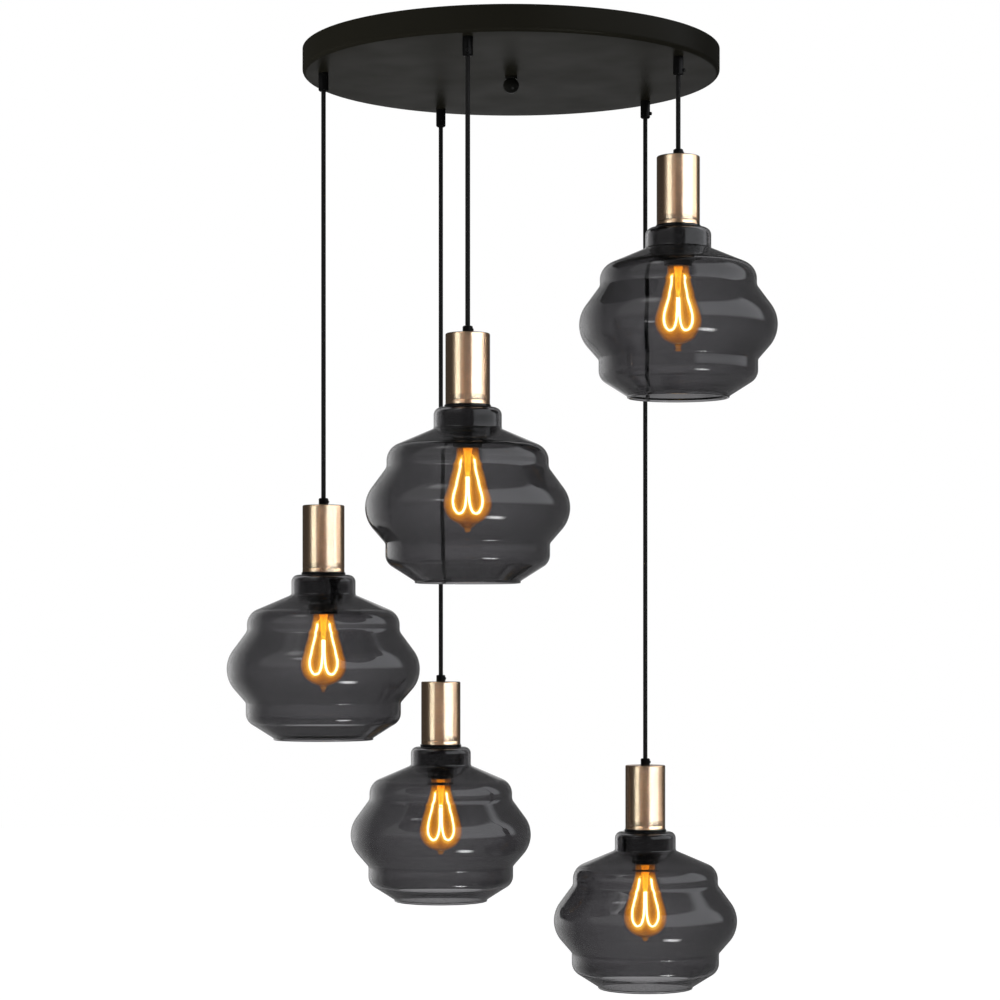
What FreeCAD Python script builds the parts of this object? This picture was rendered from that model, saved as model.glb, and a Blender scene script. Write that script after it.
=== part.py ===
import FreeCAD, Part
import math
import os

V = FreeCAD.Vector
UP = V(0, 0, 1)

# Cluster pendant, millimetres. The origin is the middle of the ceiling plane, +Z is up and
# everything hangs below it: a round canopy, five cords and five glass lamps at five heights.
# An azimuth is counted from +X towards +Y. A "depth" is counted down from its own part's top.

# ---- canopy: a pressed steel pan, open towards the ceiling ----
CANOPY_RADIUS = 250.0
CANOPY_HEIGHT = 30.0
CANOPY_WALL = 1.5
CANOPY_EDGE_ROUND = 5.0
CORD_INSET = 25.0

# ---- ceiling bracket: a steel strip whose middle is stepped down from the ceiling ----
BRACKET_LENGTH = 180.0
BRACKET_WIDTH = 30.0
BRACKET_SHEET = 2.0
BRACKET_STEP = 8.0
BRACKET_MIDDLE = 70.0
BRACKET_RAMP = 8.0
BRACKET_END_ROUND = 6.0
SLOT_SPACING = 130.0
SLOT_LENGTH = 20.0
SLOT_WIDTH = 5.5

# ---- centre stud, its lock nuts and the ball nut that holds the canopy up ----
STUD_RADIUS = 3.0
STUD_TOP_DEPTH = 2.5
STUD_REACH = 12.0
STUD_HOLE_CLEARANCE = 0.4
THREAD_CLEARANCE = 0.05
THREAD_RELIEF = 1.0
STUD_NUT_FLATS = 10.0
STUD_NUT_HEIGHT = 5.0
BALL_RADIUS = 9.5
BALL_DROP = 10.5
BALL_COLLAR_RADIUS = 7.5
BALL_COLLAR_HEIGHT = 3.0

# ---- cord, and the grip that clamps it under the canopy ----
CORD_DIAMETER = 5.5
CORD_CLEARANCE = 0.25
GRIP_RADIUS = 6.0
GRIP_LENGTH = 22.0
GRIP_CHAMFER = 1.5
NIPPLE_RADIUS = 4.95
NIPPLE_HOLE_CLEARANCE = 0.25
GRIP_NIPPLE_LENGTH = 9.0
GRIP_NUT_FLATS = 14.0
GRIP_NUT_HEIGHT = 3.5
SCREW_HEAD_RADIUS = 2.2
SCREW_HEAD_LENGTH = 2.4
SCREW_SHANK_RADIUS = 1.45
SCREW_ABOVE_GRIP_END = 6.0

# ---- terminal box and the cord tails that lead to it, inside the canopy ----
BOX_LENGTH = 80.0
BOX_WIDTH = 44.0
BOX_HEIGHT = 23.5
BOX_MIDDLE_Y = 48.0
BOX_EDGE_ROUND = 3.0
TAIL_DEPTH = 9.0
TAIL_RISE_ROUND = 11.0
TAIL_TURN_ROUND = 28.0

# ---- sleeve: a spun brass cup over the lampholder ----
SLEEVE_RADIUS = 25.0
SLEEVE_LENGTH = 80.0
SLEEVE_WALL = 1.2
SLEEVE_TOP = 2.0
SLEEVE_EDGE_ROUND = 1.6
SLEEVE_GRIP_RADIUS = 5.75
SLEEVE_GRIP_HEIGHT = 8.5
SLEEVE_GRIP_CHAMFER = 1.0
SLEEVE_NIPPLE_LENGTH = 10.0

# ---- flange ring between sleeve and glass, and the threaded ring that holds the glass ----
FLANGE_RADIUS = 26.2
FLANGE_HEIGHT = 3.0
SPIGOT_HEIGHT = 3.0
SPIGOT_CLEARANCE = 0.2
RING_RADIUS = 29.5
RING_HEIGHT = 27.7
RING_END_ROUND = 7.0
RING_SEAT_CLEARANCE = 0.3

# ---- lampholder: a moulded body with a threaded skirt and an open screw socket ----
HOLDER_CAP_RADIUS = 14.0
HOLDER_CAP_HEIGHT = 12.0
HOLDER_BODY_RADIUS = 19.0
HOLDER_SKIRT_RADIUS = 20.0
HOLDER_SKIRT_CLEARANCE = 0.3
HOLDER_SKIRT_BELOW_RING = 2.0
HOLDER_LIP_RADIUS = 16.5
HOLDER_LIP_HEIGHT = 9.0
HOLDER_LIP_ROUND = 2.0
SOCKET_CLEARANCE = 0.3
SOCKET_DEPTH = 28.0

# ---- glass shade: radii, and depths below its flat top ----
GLASS_WALL = 3.0
GLASS_HOLE_RADIUS = 21.5
NECK_RADIUS = 38.25
NECK_DEPTH = 23.9
NECK_TOP_ROUND = 8.5
NECK_FOOT_ROUND = 3.0
UPPER_TIER_RADIUS = 91.0
UPPER_TIER_DEPTH = 46.6
UPPER_TIER_ROUND = 20.0
WAIST_DEPTH = 67.3
WAIST_ROUND = 10.0
BELLY_CORNER_RADIUS = 125.5
BELLY_DEPTH = 114.3
BELLY_ROUND = 37.7
LOWER_TIER_RADIUS = 92.4
LOWER_WAIST_DEPTH = 152.6
LOWER_WAIST_ROUND = 5.0
LOWER_TIER_DEPTH = 174.0
LOWER_TIER_ROUND = 16.0
MOUTH_RADIUS = 59.5
MOUTH_CONE_DEPTH = 194.9
MOUTH_DEPTH = 197.3

# ---- bulb: screw cap, pear-shaped glass and a two-loop filament on its stem ----
CAP_RADIUS = 13.25
CAP_HEIGHT = 27.0
CAP_FLOOR_HEIGHT = 7.0
CAP_SKIRT_WALL = 0.6
CAP_BELOW_HOLDER = 1.0
CONTACT_RADIUS = 4.0
CONTACT_HEIGHT = 2.5
INSULATOR_RADIUS = 10.5
INSULATOR_HEIGHT = 3.0
BULB_RADIUS = 27.5
BULB_LENGTH = 96.0
BULB_WALL = 1.0
BULB_NECK_LENGTH = 12.0
BULB_SEAT_GAP = 0.1
BULB_SHOULDER_ROUND = 60.0
BULB_END_ROUND = 26.0
BULB_CORNER_OUT = 5.3
BULB_CORNER_RISE = 16.5
BULB_TIP_RADIUS = 3.0
BULB_TIP_FLARE = 1.5
BULB_TIP_HEIGHT = 4.7
STEM_FLARE_RADIUS = 8.0
STEM_RADIUS = 2.6
STEM_FLARE_LENGTH = 16.0
STEM_LENGTH = 38.0
WIRE_RADIUS = 0.6
WIRE_SIDES = 6
LOOP_TOP_DEPTH = 18.0
LOOP_TOP_REACH = 7.5
LOOP_END_DEPTH = 37.0
LOOP_END_REACH = 1.2
LOOP_BOTTOM_DEPTH = 71.0
LOOP_BOTTOM_REACH = 10.3
LOOP_BOTTOM_ROUND = 6.7

# ---- falls from the canopy's underside to each sleeve's top, highest pendant first ----
FALL_1 = 116.0
FALL_2 = 333.0
FALL_3 = 516.0
FALL_4 = 730.0
FALL_5 = 834.0

# ---- how the tails reach the terminal box: places along its walls, and one tail's way round ----
TAIL_APPROACH = 35.0
SIDE_ENTRY = 12.0
LEFT_ENTRY = 14.0
BACK_ENTRY = 20.0
DETOUR_X = -95.0
DETOUR_Y = -60.0

# ---- the five pendants: azimuth on the canopy, fall, azimuth that the grip's screw faces, the
# box wall that the tail enters, and how far along it ----
PENDANTS = {
    1: {"azimuth": 329.5, "fall": FALL_1, "screw": -15.0, "side": "right", "entry": -SIDE_ENTRY},
    2: {"azimuth": 257.5, "fall": FALL_2, "screw": -90.0, "side": "left", "entry": -LEFT_ENTRY},
    3: {"azimuth": 185.5, "fall": FALL_3, "screw": 100.0, "side": "left", "entry": 0.0},
    4: {"azimuth": 113.5, "fall": FALL_4, "screw": 90.0, "side": "back", "entry": -BACK_ENTRY},
    5: {"azimuth": 41.5, "fall": FALL_5, "screw": -15.0, "side": "right", "entry": SIDE_ENTRY},
}
TAIL_DETOURS = {2: [(DETOUR_X, DETOUR_Y)]}

# ---- drawing limits: the smallest arc drawn in a corner, and when two lengths count as equal ----
SMALLEST_ROUND = 0.3
EQUAL = 1e-6

# ---- heights that follow from the sizes above ----
PITCH_RADIUS = CANOPY_RADIUS - CORD_INSET
CANOPY_UNDERSIDE = -CANOPY_HEIGHT
CANOPY_FLOOR = CANOPY_UNDERSIDE + CANOPY_WALL
GRIP_END = CANOPY_UNDERSIDE - GRIP_LENGTH
CORD_RADIUS = CORD_DIAMETER / 2
CORD_BORE = CORD_RADIUS + CORD_CLEARANCE
NIPPLE_HOLE = NIPPLE_RADIUS + NIPPLE_HOLE_CLEARANCE
GLASS_TOP = -SLEEVE_LENGTH - FLANGE_HEIGHT
RING_TOP = GLASS_TOP - GLASS_WALL - RING_SEAT_CLEARANCE
RING_BOTTOM = RING_TOP - RING_HEIGHT
SKIRT_BOTTOM = RING_BOTTOM - HOLDER_SKIRT_BELOW_RING
HOLDER_BOTTOM = SKIRT_BOTTOM - HOLDER_LIP_HEIGHT
CAP_BOTTOM = HOLDER_BOTTOM - CAP_BELOW_HOLDER
CAP_TOP = CAP_BOTTOM + CAP_HEIGHT
CAP_FLOOR = CAP_TOP - INSULATOR_HEIGHT - CAP_FLOOR_HEIGHT
SOCKET_RADIUS = CAP_RADIUS + SOCKET_CLEARANCE


# ---- helpers ----
def point(radius, height):
    """A point of a turned section, in the XZ plane."""
    return V(radius, 0, height)


def rounded_edges(corners):
    """Edges of an open outline with corners (radius, height, round), each round a tangent arc."""
    spots = [point(r, z) for r, z, _ in corners]
    edges = []
    start = spots[0]
    for before, here, after, corner in zip(spots, spots[1:], spots[2:], corners[1:]):
        end, arc, following = here, None, here
        if corner[2] > 0:
            back = (before - here).normalize()
            ahead = (after - here).normalize()
            half = back.getAngle(ahead) / 2
            reach = corner[2] / math.tan(half)
            middle = (back + ahead).normalize()
            end = here + back * reach
            following = here + ahead * reach
            crown = here + middle * (corner[2] / math.sin(half) - corner[2])
            arc = Part.Arc(end, crown, following).toShape()
        if end.distanceToPoint(start) > EQUAL:
            edges.append(Part.LineSegment(start, end).toShape())
        if arc:
            edges.append(arc)
        start = following
    edges.append(Part.LineSegment(start, spots[-1]).toShape())
    return edges


def offset_corners(corners, wall):
    """The same outline moved sideways by a wall, to the right of its direction."""
    spots = [point(r, z) for r, z, _ in corners]
    runs = [(b - a).normalize() for a, b in zip(spots, spots[1:])]
    sides = [V(-run.z, 0, run.x) for run in runs]
    moved = [spots[0] - sides[0] * wall]
    rounds = [0.0]
    for index in range(1, len(spots) - 1):
        one, other = sides[index - 1], sides[index]
        moved.append(spots[index] - (one + other) * (wall / (1 + one.dot(other))))
        turn = runs[index - 1].cross(runs[index]).y
        change = wall if turn < 0 else -wall
        given = corners[index][2]
        rounds.append(max(given + change, SMALLEST_ROUND) if given else 0.0)
    moved.append(spots[-1] - sides[-1] * wall)
    rounds.append(0.0)
    return [(spot.x, spot.z, bend) for spot, bend in zip(moved, rounds)]


def turned(edges):
    """A full turn about the Z axis of a closed section."""
    section = Part.Face(Part.Wire(Part.__sortEdges__(edges)))
    return section.revolve(V(0, 0, 0), UP, 360)


def turned_outline(corners):
    """A turned solid from a closed outline of corners, the first repeated last."""
    return turned(rounded_edges(corners))


def rod(radius, low, high, x=0.0, y=0.0):
    return Part.makeCylinder(radius, high - low, V(x, y, low), UP)


def hexagon_nut(flats, bore, low, high, x=0.0, y=0.0):
    """A hexagon nut with a plain bore."""
    reach = flats / math.sqrt(3)
    corners = [
        V(x + reach * math.cos(math.radians(60 * k)), y + reach * math.sin(math.radians(60 * k)), low)
        for k in range(7)
    ]
    body = Part.Face(Part.makePolygon(corners)).extrude(UP * (high - low))
    return body.cut(rod(bore, low, high, x, y))


def place(pendant):
    """Where a pendant's cord leaves the canopy."""
    azimuth = math.radians(pendant["azimuth"])
    return V(PITCH_RADIUS * math.cos(azimuth), PITCH_RADIUS * math.sin(azimuth), 0)


def smooth_path(spots, rounds):
    """A wire of straight runs joined by tangent arcs, one round for each inner spot."""
    edges = []
    start = spots[0]
    for before, here, after, bend in zip(spots, spots[1:], spots[2:], rounds):
        back = (before - here).normalize()
        ahead = (after - here).normalize()
        half = back.getAngle(ahead) / 2
        reach = bend / math.tan(half)
        crown = here + (back + ahead).normalize() * (bend / math.sin(half) - bend)
        end, following = here + back * reach, here + ahead * reach
        edges.append(Part.LineSegment(start, end).toShape())
        edges.append(Part.Arc(end, crown, following).toShape())
        start = following
    edges.append(Part.LineSegment(start, spots[-1]).toShape())
    return Part.Wire(edges)


# ---- canopy and what it carries ----
def canopy():
    """The pan: a flat floor with a rounded edge and an upright rim, drilled for cords and stud."""
    outside = [
        (0.0, CANOPY_UNDERSIDE, 0.0),
        (CANOPY_RADIUS, CANOPY_UNDERSIDE, CANOPY_EDGE_ROUND),
        (CANOPY_RADIUS, 0.0, 0.0),
    ]
    inside_radius = CANOPY_RADIUS - CANOPY_WALL
    inside = [
        (inside_radius, 0.0, 0.0),
        (inside_radius, CANOPY_FLOOR, CANOPY_EDGE_ROUND - CANOPY_WALL),
        (0.0, CANOPY_FLOOR, 0.0),
    ]
    rim = Part.LineSegment(point(CANOPY_RADIUS, 0), point(inside_radius, 0)).toShape()
    axis = Part.LineSegment(point(0, CANOPY_FLOOR), point(0, CANOPY_UNDERSIDE)).toShape()
    pan = turned(rounded_edges(outside) + [rim] + rounded_edges(inside) + [axis])
    for pendant in PENDANTS.values():
        spot = place(pendant)
        pan = pan.cut(rod(NIPPLE_HOLE, CANOPY_UNDERSIDE, CANOPY_FLOOR, spot.x, spot.y))
    return pan.cut(rod(STUD_RADIUS + STUD_HOLE_CLEARANCE, CANOPY_UNDERSIDE, CANOPY_FLOOR))


def ceiling_bracket():
    """A folded strip: both ends lie on the ceiling, the middle is stepped down for the nut."""
    half, flat = BRACKET_LENGTH / 2, BRACKET_MIDDLE / 2
    foot = flat + BRACKET_RAMP
    top = [(-half, 0), (-foot, 0), (-flat, -BRACKET_STEP), (flat, -BRACKET_STEP), (foot, 0), (half, 0)]
    under = [(x, z - BRACKET_SHEET) for x, z in reversed(top)]
    outline = [V(x, -BRACKET_WIDTH / 2, z) for x, z in top + under + top[:1]]
    strip = Part.Face(Part.makePolygon(outline)).extrude(V(0, BRACKET_WIDTH, 0))
    corners = [
        edge
        for edge in strip.Edges
        if abs(edge.Length - BRACKET_SHEET) < EQUAL and abs(abs(edge.CenterOfMass.x) - half) < EQUAL
        and abs(abs(edge.CenterOfMass.y) - BRACKET_WIDTH / 2) < EQUAL
    ]
    strip = strip.makeFillet(min(BRACKET_END_ROUND, BRACKET_WIDTH / 2 - SMALLEST_ROUND), corners)
    run = (SLOT_LENGTH - SLOT_WIDTH) / 2
    for side in (-1, 1):
        middle = side * SLOT_SPACING / 2
        slot = rod(SLOT_WIDTH / 2, -BRACKET_SHEET, 0, middle - run)
        slot = slot.fuse(rod(SLOT_WIDTH / 2, -BRACKET_SHEET, 0, middle + run))
        bar = Part.makeBox(2 * run, SLOT_WIDTH, BRACKET_SHEET)
        bar.translate(V(middle - run, -SLOT_WIDTH / 2, -BRACKET_SHEET))
        strip = strip.cut(slot.fuse(bar).removeSplitter())
    hole = rod(STUD_RADIUS + THREAD_CLEARANCE, -BRACKET_STEP - BRACKET_SHEET, -BRACKET_STEP)
    return strip.cut(hole)


def centre_stud():
    return rod(STUD_RADIUS, CANOPY_UNDERSIDE - STUD_REACH, -STUD_TOP_DEPTH)


def stud_nuts():
    """One nut above and one below the bracket's stepped middle."""
    bore = STUD_RADIUS + THREAD_CLEARANCE
    under = -BRACKET_STEP - BRACKET_SHEET
    upper = hexagon_nut(STUD_NUT_FLATS, bore, -BRACKET_STEP, -BRACKET_STEP + STUD_NUT_HEIGHT)
    lower = hexagon_nut(STUD_NUT_FLATS, bore, under - STUD_NUT_HEIGHT, under)
    return Part.makeCompound([upper, lower])


def ball_nut():
    """The ball and its collar, with a blind thread for the stud."""
    middle = CANOPY_UNDERSIDE - BALL_DROP
    ball = Part.makeSphere(BALL_RADIUS, V(0, 0, middle))
    collar = rod(BALL_COLLAR_RADIUS, CANOPY_UNDERSIDE - BALL_COLLAR_HEIGHT, CANOPY_UNDERSIDE)
    ball = ball.cut(rod(2 * BALL_RADIUS, CANOPY_UNDERSIDE - BALL_COLLAR_HEIGHT, 0))
    thread_end = CANOPY_UNDERSIDE - STUD_REACH - THREAD_RELIEF
    thread = rod(STUD_RADIUS + THREAD_CLEARANCE, thread_end, CANOPY_UNDERSIDE)
    return ball.fuse(collar).cut(thread)


def cord_grip(pendant):
    """A cord grip: body below the canopy, hollow nipple through it, and a hole for its screw."""
    bottom_radius = GRIP_RADIUS - GRIP_CHAMFER
    grip = turned_outline([
        (CORD_BORE, GRIP_END, 0),
        (bottom_radius, GRIP_END, 0),
        (GRIP_RADIUS, GRIP_END + GRIP_CHAMFER, 0),
        (GRIP_RADIUS, CANOPY_UNDERSIDE, 0),
        (NIPPLE_RADIUS, CANOPY_UNDERSIDE, 0),
        (NIPPLE_RADIUS, CANOPY_UNDERSIDE + GRIP_NIPPLE_LENGTH, 0),
        (CORD_BORE, CANOPY_UNDERSIDE + GRIP_NIPPLE_LENGTH, 0),
        (CORD_BORE, GRIP_END, 0),
    ])
    bore = SCREW_SHANK_RADIUS + THREAD_CLEARANCE
    hole = Part.makeCylinder(bore, 2 * GRIP_RADIUS, V(0, 0, GRIP_END + SCREW_ABOVE_GRIP_END), V(1, 0, 0))
    grip = grip.cut(hole)
    grip.rotate(V(0, 0, 0), UP, pendant["screw"])
    grip.translate(place(pendant))
    return grip


def grip_screw(pendant):
    """The screw in the grip's side, which clamps the cord."""
    height = GRIP_END + SCREW_ABOVE_GRIP_END
    head = Part.makeCylinder(SCREW_HEAD_RADIUS, SCREW_HEAD_LENGTH, V(GRIP_RADIUS, 0, height), V(1, 0, 0))
    shank = Part.makeCylinder(
        SCREW_SHANK_RADIUS, GRIP_RADIUS - CORD_BORE, V(CORD_BORE, 0, height), V(1, 0, 0)
    )
    screw = head.fuse(shank)
    screw.rotate(V(0, 0, 0), UP, pendant["screw"])
    screw.translate(place(pendant))
    return screw


def grip_nut(pendant):
    spot = place(pendant)
    bore = NIPPLE_RADIUS + THREAD_CLEARANCE
    return hexagon_nut(GRIP_NUT_FLATS, bore, CANOPY_FLOOR, CANOPY_FLOOR + GRIP_NUT_HEIGHT, spot.x, spot.y)


def terminal_box():
    """The closed box on the canopy's floor in which the cords meet the supply."""
    box = Part.makeBox(BOX_LENGTH, BOX_WIDTH, BOX_HEIGHT)
    box.translate(V(-BOX_LENGTH / 2, BOX_MIDDLE_Y - BOX_WIDTH / 2, CANOPY_FLOOR))
    upright = [e for e in box.Edges if abs(abs(e.tangentAt(0).z) - 1) < EQUAL]
    return box.makeFillet(BOX_EDGE_ROUND, upright)


def tail(number, pendant):
    """A cord's last stretch: up out of the nipple, across the canopy and square into the box."""
    spot = place(pendant)
    entry = pendant["entry"]
    side = {"left": -1, "right": 1, "back": 0}[pendant["side"]]
    if side:
        wall = V(side * BOX_LENGTH / 2, BOX_MIDDLE_Y + entry, -TAIL_DEPTH)
        before = wall + V(side * TAIL_APPROACH, 0, 0)
    else:
        wall = V(entry, BOX_MIDDLE_Y + BOX_WIDTH / 2, -TAIL_DEPTH)
        before = wall + V(0, TAIL_APPROACH, 0)
    spots = [spot + V(0, 0, CANOPY_UNDERSIDE + GRIP_NIPPLE_LENGTH), spot + V(0, 0, -TAIL_DEPTH)]
    spots += [V(x, y, -TAIL_DEPTH) for x, y in TAIL_DETOURS.get(number, [])]
    spots += [before, wall]
    rounds = [TAIL_RISE_ROUND] + [TAIL_TURN_ROUND] * (len(spots) - 3)
    path = smooth_path(spots, rounds)
    section = Part.Wire(Part.Circle(spots[0], UP, CORD_RADIUS).toShape())
    return path.makePipeShell([section], True, False)


def cord_tails():
    return Part.makeCompound([tail(number, pendant) for number, pendant in PENDANTS.items()])


# ---- one pendant, drawn about the Z axis with its sleeve's top at height 0 ----
def cord(pendant):
    """The straight free cord from the canopy's grip to the sleeve's grip."""
    spot = place(pendant)
    lower_end = CANOPY_UNDERSIDE - pendant["fall"] + SLEEVE_GRIP_HEIGHT
    return rod(CORD_RADIUS, lower_end, GRIP_END, spot.x, spot.y)


def sleeve_grip():
    """The grip on the sleeve, whose nipple screws into the lampholder."""
    return turned_outline([
        (CORD_BORE, -SLEEVE_NIPPLE_LENGTH, 0),
        (NIPPLE_RADIUS, -SLEEVE_NIPPLE_LENGTH, 0),
        (NIPPLE_RADIUS, 0, 0),
        (SLEEVE_GRIP_RADIUS, 0, 0),
        (SLEEVE_GRIP_RADIUS, SLEEVE_GRIP_HEIGHT - SLEEVE_GRIP_CHAMFER, 0),
        (SLEEVE_GRIP_RADIUS - SLEEVE_GRIP_CHAMFER, SLEEVE_GRIP_HEIGHT, 0),
        (CORD_BORE, SLEEVE_GRIP_HEIGHT, 0),
        (CORD_BORE, -SLEEVE_NIPPLE_LENGTH, 0),
    ])


def sleeve():
    """A cup with a softly rounded top edge, open at the bottom."""
    inner = SLEEVE_RADIUS - SLEEVE_WALL
    return turned_outline([
        (NIPPLE_HOLE, -SLEEVE_TOP, 0),
        (NIPPLE_HOLE, 0, 0),
        (SLEEVE_RADIUS, 0, SLEEVE_EDGE_ROUND),
        (SLEEVE_RADIUS, -SLEEVE_LENGTH, 0),
        (inner, -SLEEVE_LENGTH, 0),
        (inner, -SLEEVE_TOP, 0),
        (NIPPLE_HOLE, -SLEEVE_TOP, 0),
    ])


def flange_ring():
    """The black ring that the sleeve stands on, with a spigot inside the sleeve."""
    bore = HOLDER_SKIRT_RADIUS + HOLDER_SKIRT_CLEARANCE
    spigot = SLEEVE_RADIUS - SLEEVE_WALL - SPIGOT_CLEARANCE
    return turned_outline([
        (bore, GLASS_TOP, 0),
        (FLANGE_RADIUS, GLASS_TOP, 0),
        (FLANGE_RADIUS, -SLEEVE_LENGTH, 0),
        (spigot, -SLEEVE_LENGTH, 0),
        (spigot, -SLEEVE_LENGTH + SPIGOT_HEIGHT, 0),
        (bore, -SLEEVE_LENGTH + SPIGOT_HEIGHT, 0),
        (bore, GLASS_TOP, 0),
    ])


def retaining_ring():
    """The deep threaded ring inside the glass neck, with a bowl-shaped lower edge."""
    bore = HOLDER_SKIRT_RADIUS + HOLDER_SKIRT_CLEARANCE
    return turned_outline([
        (bore, RING_BOTTOM, 0),
        (RING_RADIUS, RING_BOTTOM, RING_END_ROUND),
        (RING_RADIUS, RING_TOP, 0),
        (bore, RING_TOP, 0),
        (bore, RING_BOTTOM, 0),
    ])


def lampholder():
    """The moulded holder: cap, body, threaded skirt, lip and the open socket for the bulb."""
    socket_top = HOLDER_BOTTOM + SOCKET_DEPTH
    nipple_bore = NIPPLE_RADIUS + THREAD_CLEARANCE
    nipple_floor = -SLEEVE_NIPPLE_LENGTH - THREAD_RELIEF
    return turned_outline([
        (0, nipple_floor, 0),
        (nipple_bore, nipple_floor, 0),
        (nipple_bore, -SLEEVE_TOP, 0),
        (HOLDER_CAP_RADIUS, -SLEEVE_TOP, 0),
        (HOLDER_BODY_RADIUS, -SLEEVE_TOP - HOLDER_CAP_HEIGHT, 0),
        (HOLDER_BODY_RADIUS, -SLEEVE_LENGTH + SPIGOT_HEIGHT, 0),
        (HOLDER_SKIRT_RADIUS, -SLEEVE_LENGTH + SPIGOT_HEIGHT, 0),
        (HOLDER_SKIRT_RADIUS, SKIRT_BOTTOM, 0),
        (HOLDER_LIP_RADIUS, SKIRT_BOTTOM, 0),
        (HOLDER_LIP_RADIUS, HOLDER_BOTTOM, HOLDER_LIP_ROUND),
        (SOCKET_RADIUS, HOLDER_BOTTOM, 0),
        (SOCKET_RADIUS, socket_top, 0),
        (0, socket_top, 0),
        (0, nipple_floor, 0),
    ])


def shade_corners():
    """The glass's outside from the hole in its top to its mouth, as corners with rounds."""
    return [
        (GLASS_HOLE_RADIUS, GLASS_TOP, 0),
        (NECK_RADIUS, GLASS_TOP, NECK_TOP_ROUND),
        (NECK_RADIUS, GLASS_TOP - NECK_DEPTH, NECK_FOOT_ROUND),
        (UPPER_TIER_RADIUS, GLASS_TOP - UPPER_TIER_DEPTH, UPPER_TIER_ROUND),
        (UPPER_TIER_RADIUS, GLASS_TOP - WAIST_DEPTH, WAIST_ROUND),
        (BELLY_CORNER_RADIUS, GLASS_TOP - BELLY_DEPTH, BELLY_ROUND),
        (LOWER_TIER_RADIUS, GLASS_TOP - LOWER_WAIST_DEPTH, LOWER_WAIST_ROUND),
        (LOWER_TIER_RADIUS, GLASS_TOP - LOWER_TIER_DEPTH, LOWER_TIER_ROUND),
        (MOUTH_RADIUS, GLASS_TOP - MOUTH_CONE_DEPTH, 0),
        (MOUTH_RADIUS, GLASS_TOP - MOUTH_DEPTH, 0),
    ]


def shade():
    """The blown glass: one even wall that follows the outside, open below, holed above."""
    outside = shade_corners()
    inside = offset_corners(outside, GLASS_WALL)
    edges = rounded_edges(outside) + rounded_edges(inside)
    for one, other in ((outside[0], inside[0]), (outside[-1], inside[-1])):
        edges.append(Part.LineSegment(point(*one[:2]), point(*other[:2])).toShape())
    return turned(edges)


def bulb_base():
    """The screw cap: centre contact, insulator and a shell whose skirt holds the glass."""
    skirt = CAP_RADIUS - CAP_SKIRT_WALL
    return turned_outline([
        (0, CAP_FLOOR, 0),
        (skirt, CAP_FLOOR, 0),
        (skirt, CAP_BOTTOM, 0),
        (CAP_RADIUS, CAP_BOTTOM, 0),
        (CAP_RADIUS, CAP_TOP - INSULATOR_HEIGHT, 0),
        (INSULATOR_RADIUS, CAP_TOP - INSULATOR_HEIGHT, 0),
        (CONTACT_RADIUS, CAP_TOP - CONTACT_HEIGHT, 0),
        (CONTACT_RADIUS, CAP_TOP, 0),
        (0, CAP_TOP, 0),
        (0, CAP_FLOOR, 0),
    ])


def bulb_corners():
    """The outside of the bulb's glass: neck, long cone, round end and sealed tip."""
    neck = CAP_RADIUS - CAP_SKIRT_WALL - BULB_SEAT_GAP
    tip = CAP_BOTTOM - BULB_LENGTH
    return [
        (neck, CAP_FLOOR - BULB_SEAT_GAP, 0),
        (neck, CAP_BOTTOM - BULB_NECK_LENGTH, BULB_SHOULDER_ROUND),
        (BULB_RADIUS + BULB_CORNER_OUT, tip + BULB_CORNER_RISE, BULB_END_ROUND),
        (BULB_TIP_RADIUS + BULB_TIP_FLARE, tip + BULB_TIP_HEIGHT, 0),
        (BULB_TIP_RADIUS, tip, 0),
        (0, tip, 0),
    ]


def bulb_glass():
    outside = bulb_corners()
    inside = offset_corners(outside[:-2], BULB_WALL)
    inside.append((0.0, inside[-1][1], 0.0))
    edges = rounded_edges(outside) + rounded_edges(inside)
    for top_or_tip in (0, -1):
        ends = [point(*corners[top_or_tip][:2]) for corners in (outside, inside)]
        edges.append(Part.LineSegment(*ends).toShape())
    return turned(edges)


def filament_loop(side):
    """One hairpin: an outer leg, a round bottom and an inner leg back to the stem."""
    top = V(side * LOOP_TOP_REACH, 0, CAP_BOTTOM - LOOP_TOP_DEPTH)
    end = V(side * LOOP_END_REACH, 0, CAP_BOTTOM - LOOP_END_DEPTH)
    middle = V(side * LOOP_BOTTOM_REACH, 0, CAP_BOTTOM - LOOP_BOTTOM_DEPTH)

    def touch(spot, turn):
        away = spot - middle
        lean = math.acos(LOOP_BOTTOM_ROUND / away.Length)
        angle = math.atan2(away.z, away.x) + turn * lean
        return middle + V(math.cos(angle), 0, math.sin(angle)) * LOOP_BOTTOM_ROUND

    outer, inner = touch(top, -side), touch(end, side)
    low = middle - UP * LOOP_BOTTOM_ROUND
    path = Part.Wire([
        Part.LineSegment(top, outer).toShape(),
        Part.Arc(outer, low, inner).toShape(),
        Part.LineSegment(inner, end).toShape(),
    ])
    along = (outer - top).normalize()
    across = V(0, 1, 0)
    third = along.cross(across)
    corners = [
        top + across * (WIRE_RADIUS * math.cos(2 * math.pi * k / WIRE_SIDES))
        + third * (WIRE_RADIUS * math.sin(2 * math.pi * k / WIRE_SIDES))
        for k in range(WIRE_SIDES + 1)
    ]
    return path.makePipeShell([Part.makePolygon(corners)], True, False)


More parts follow.
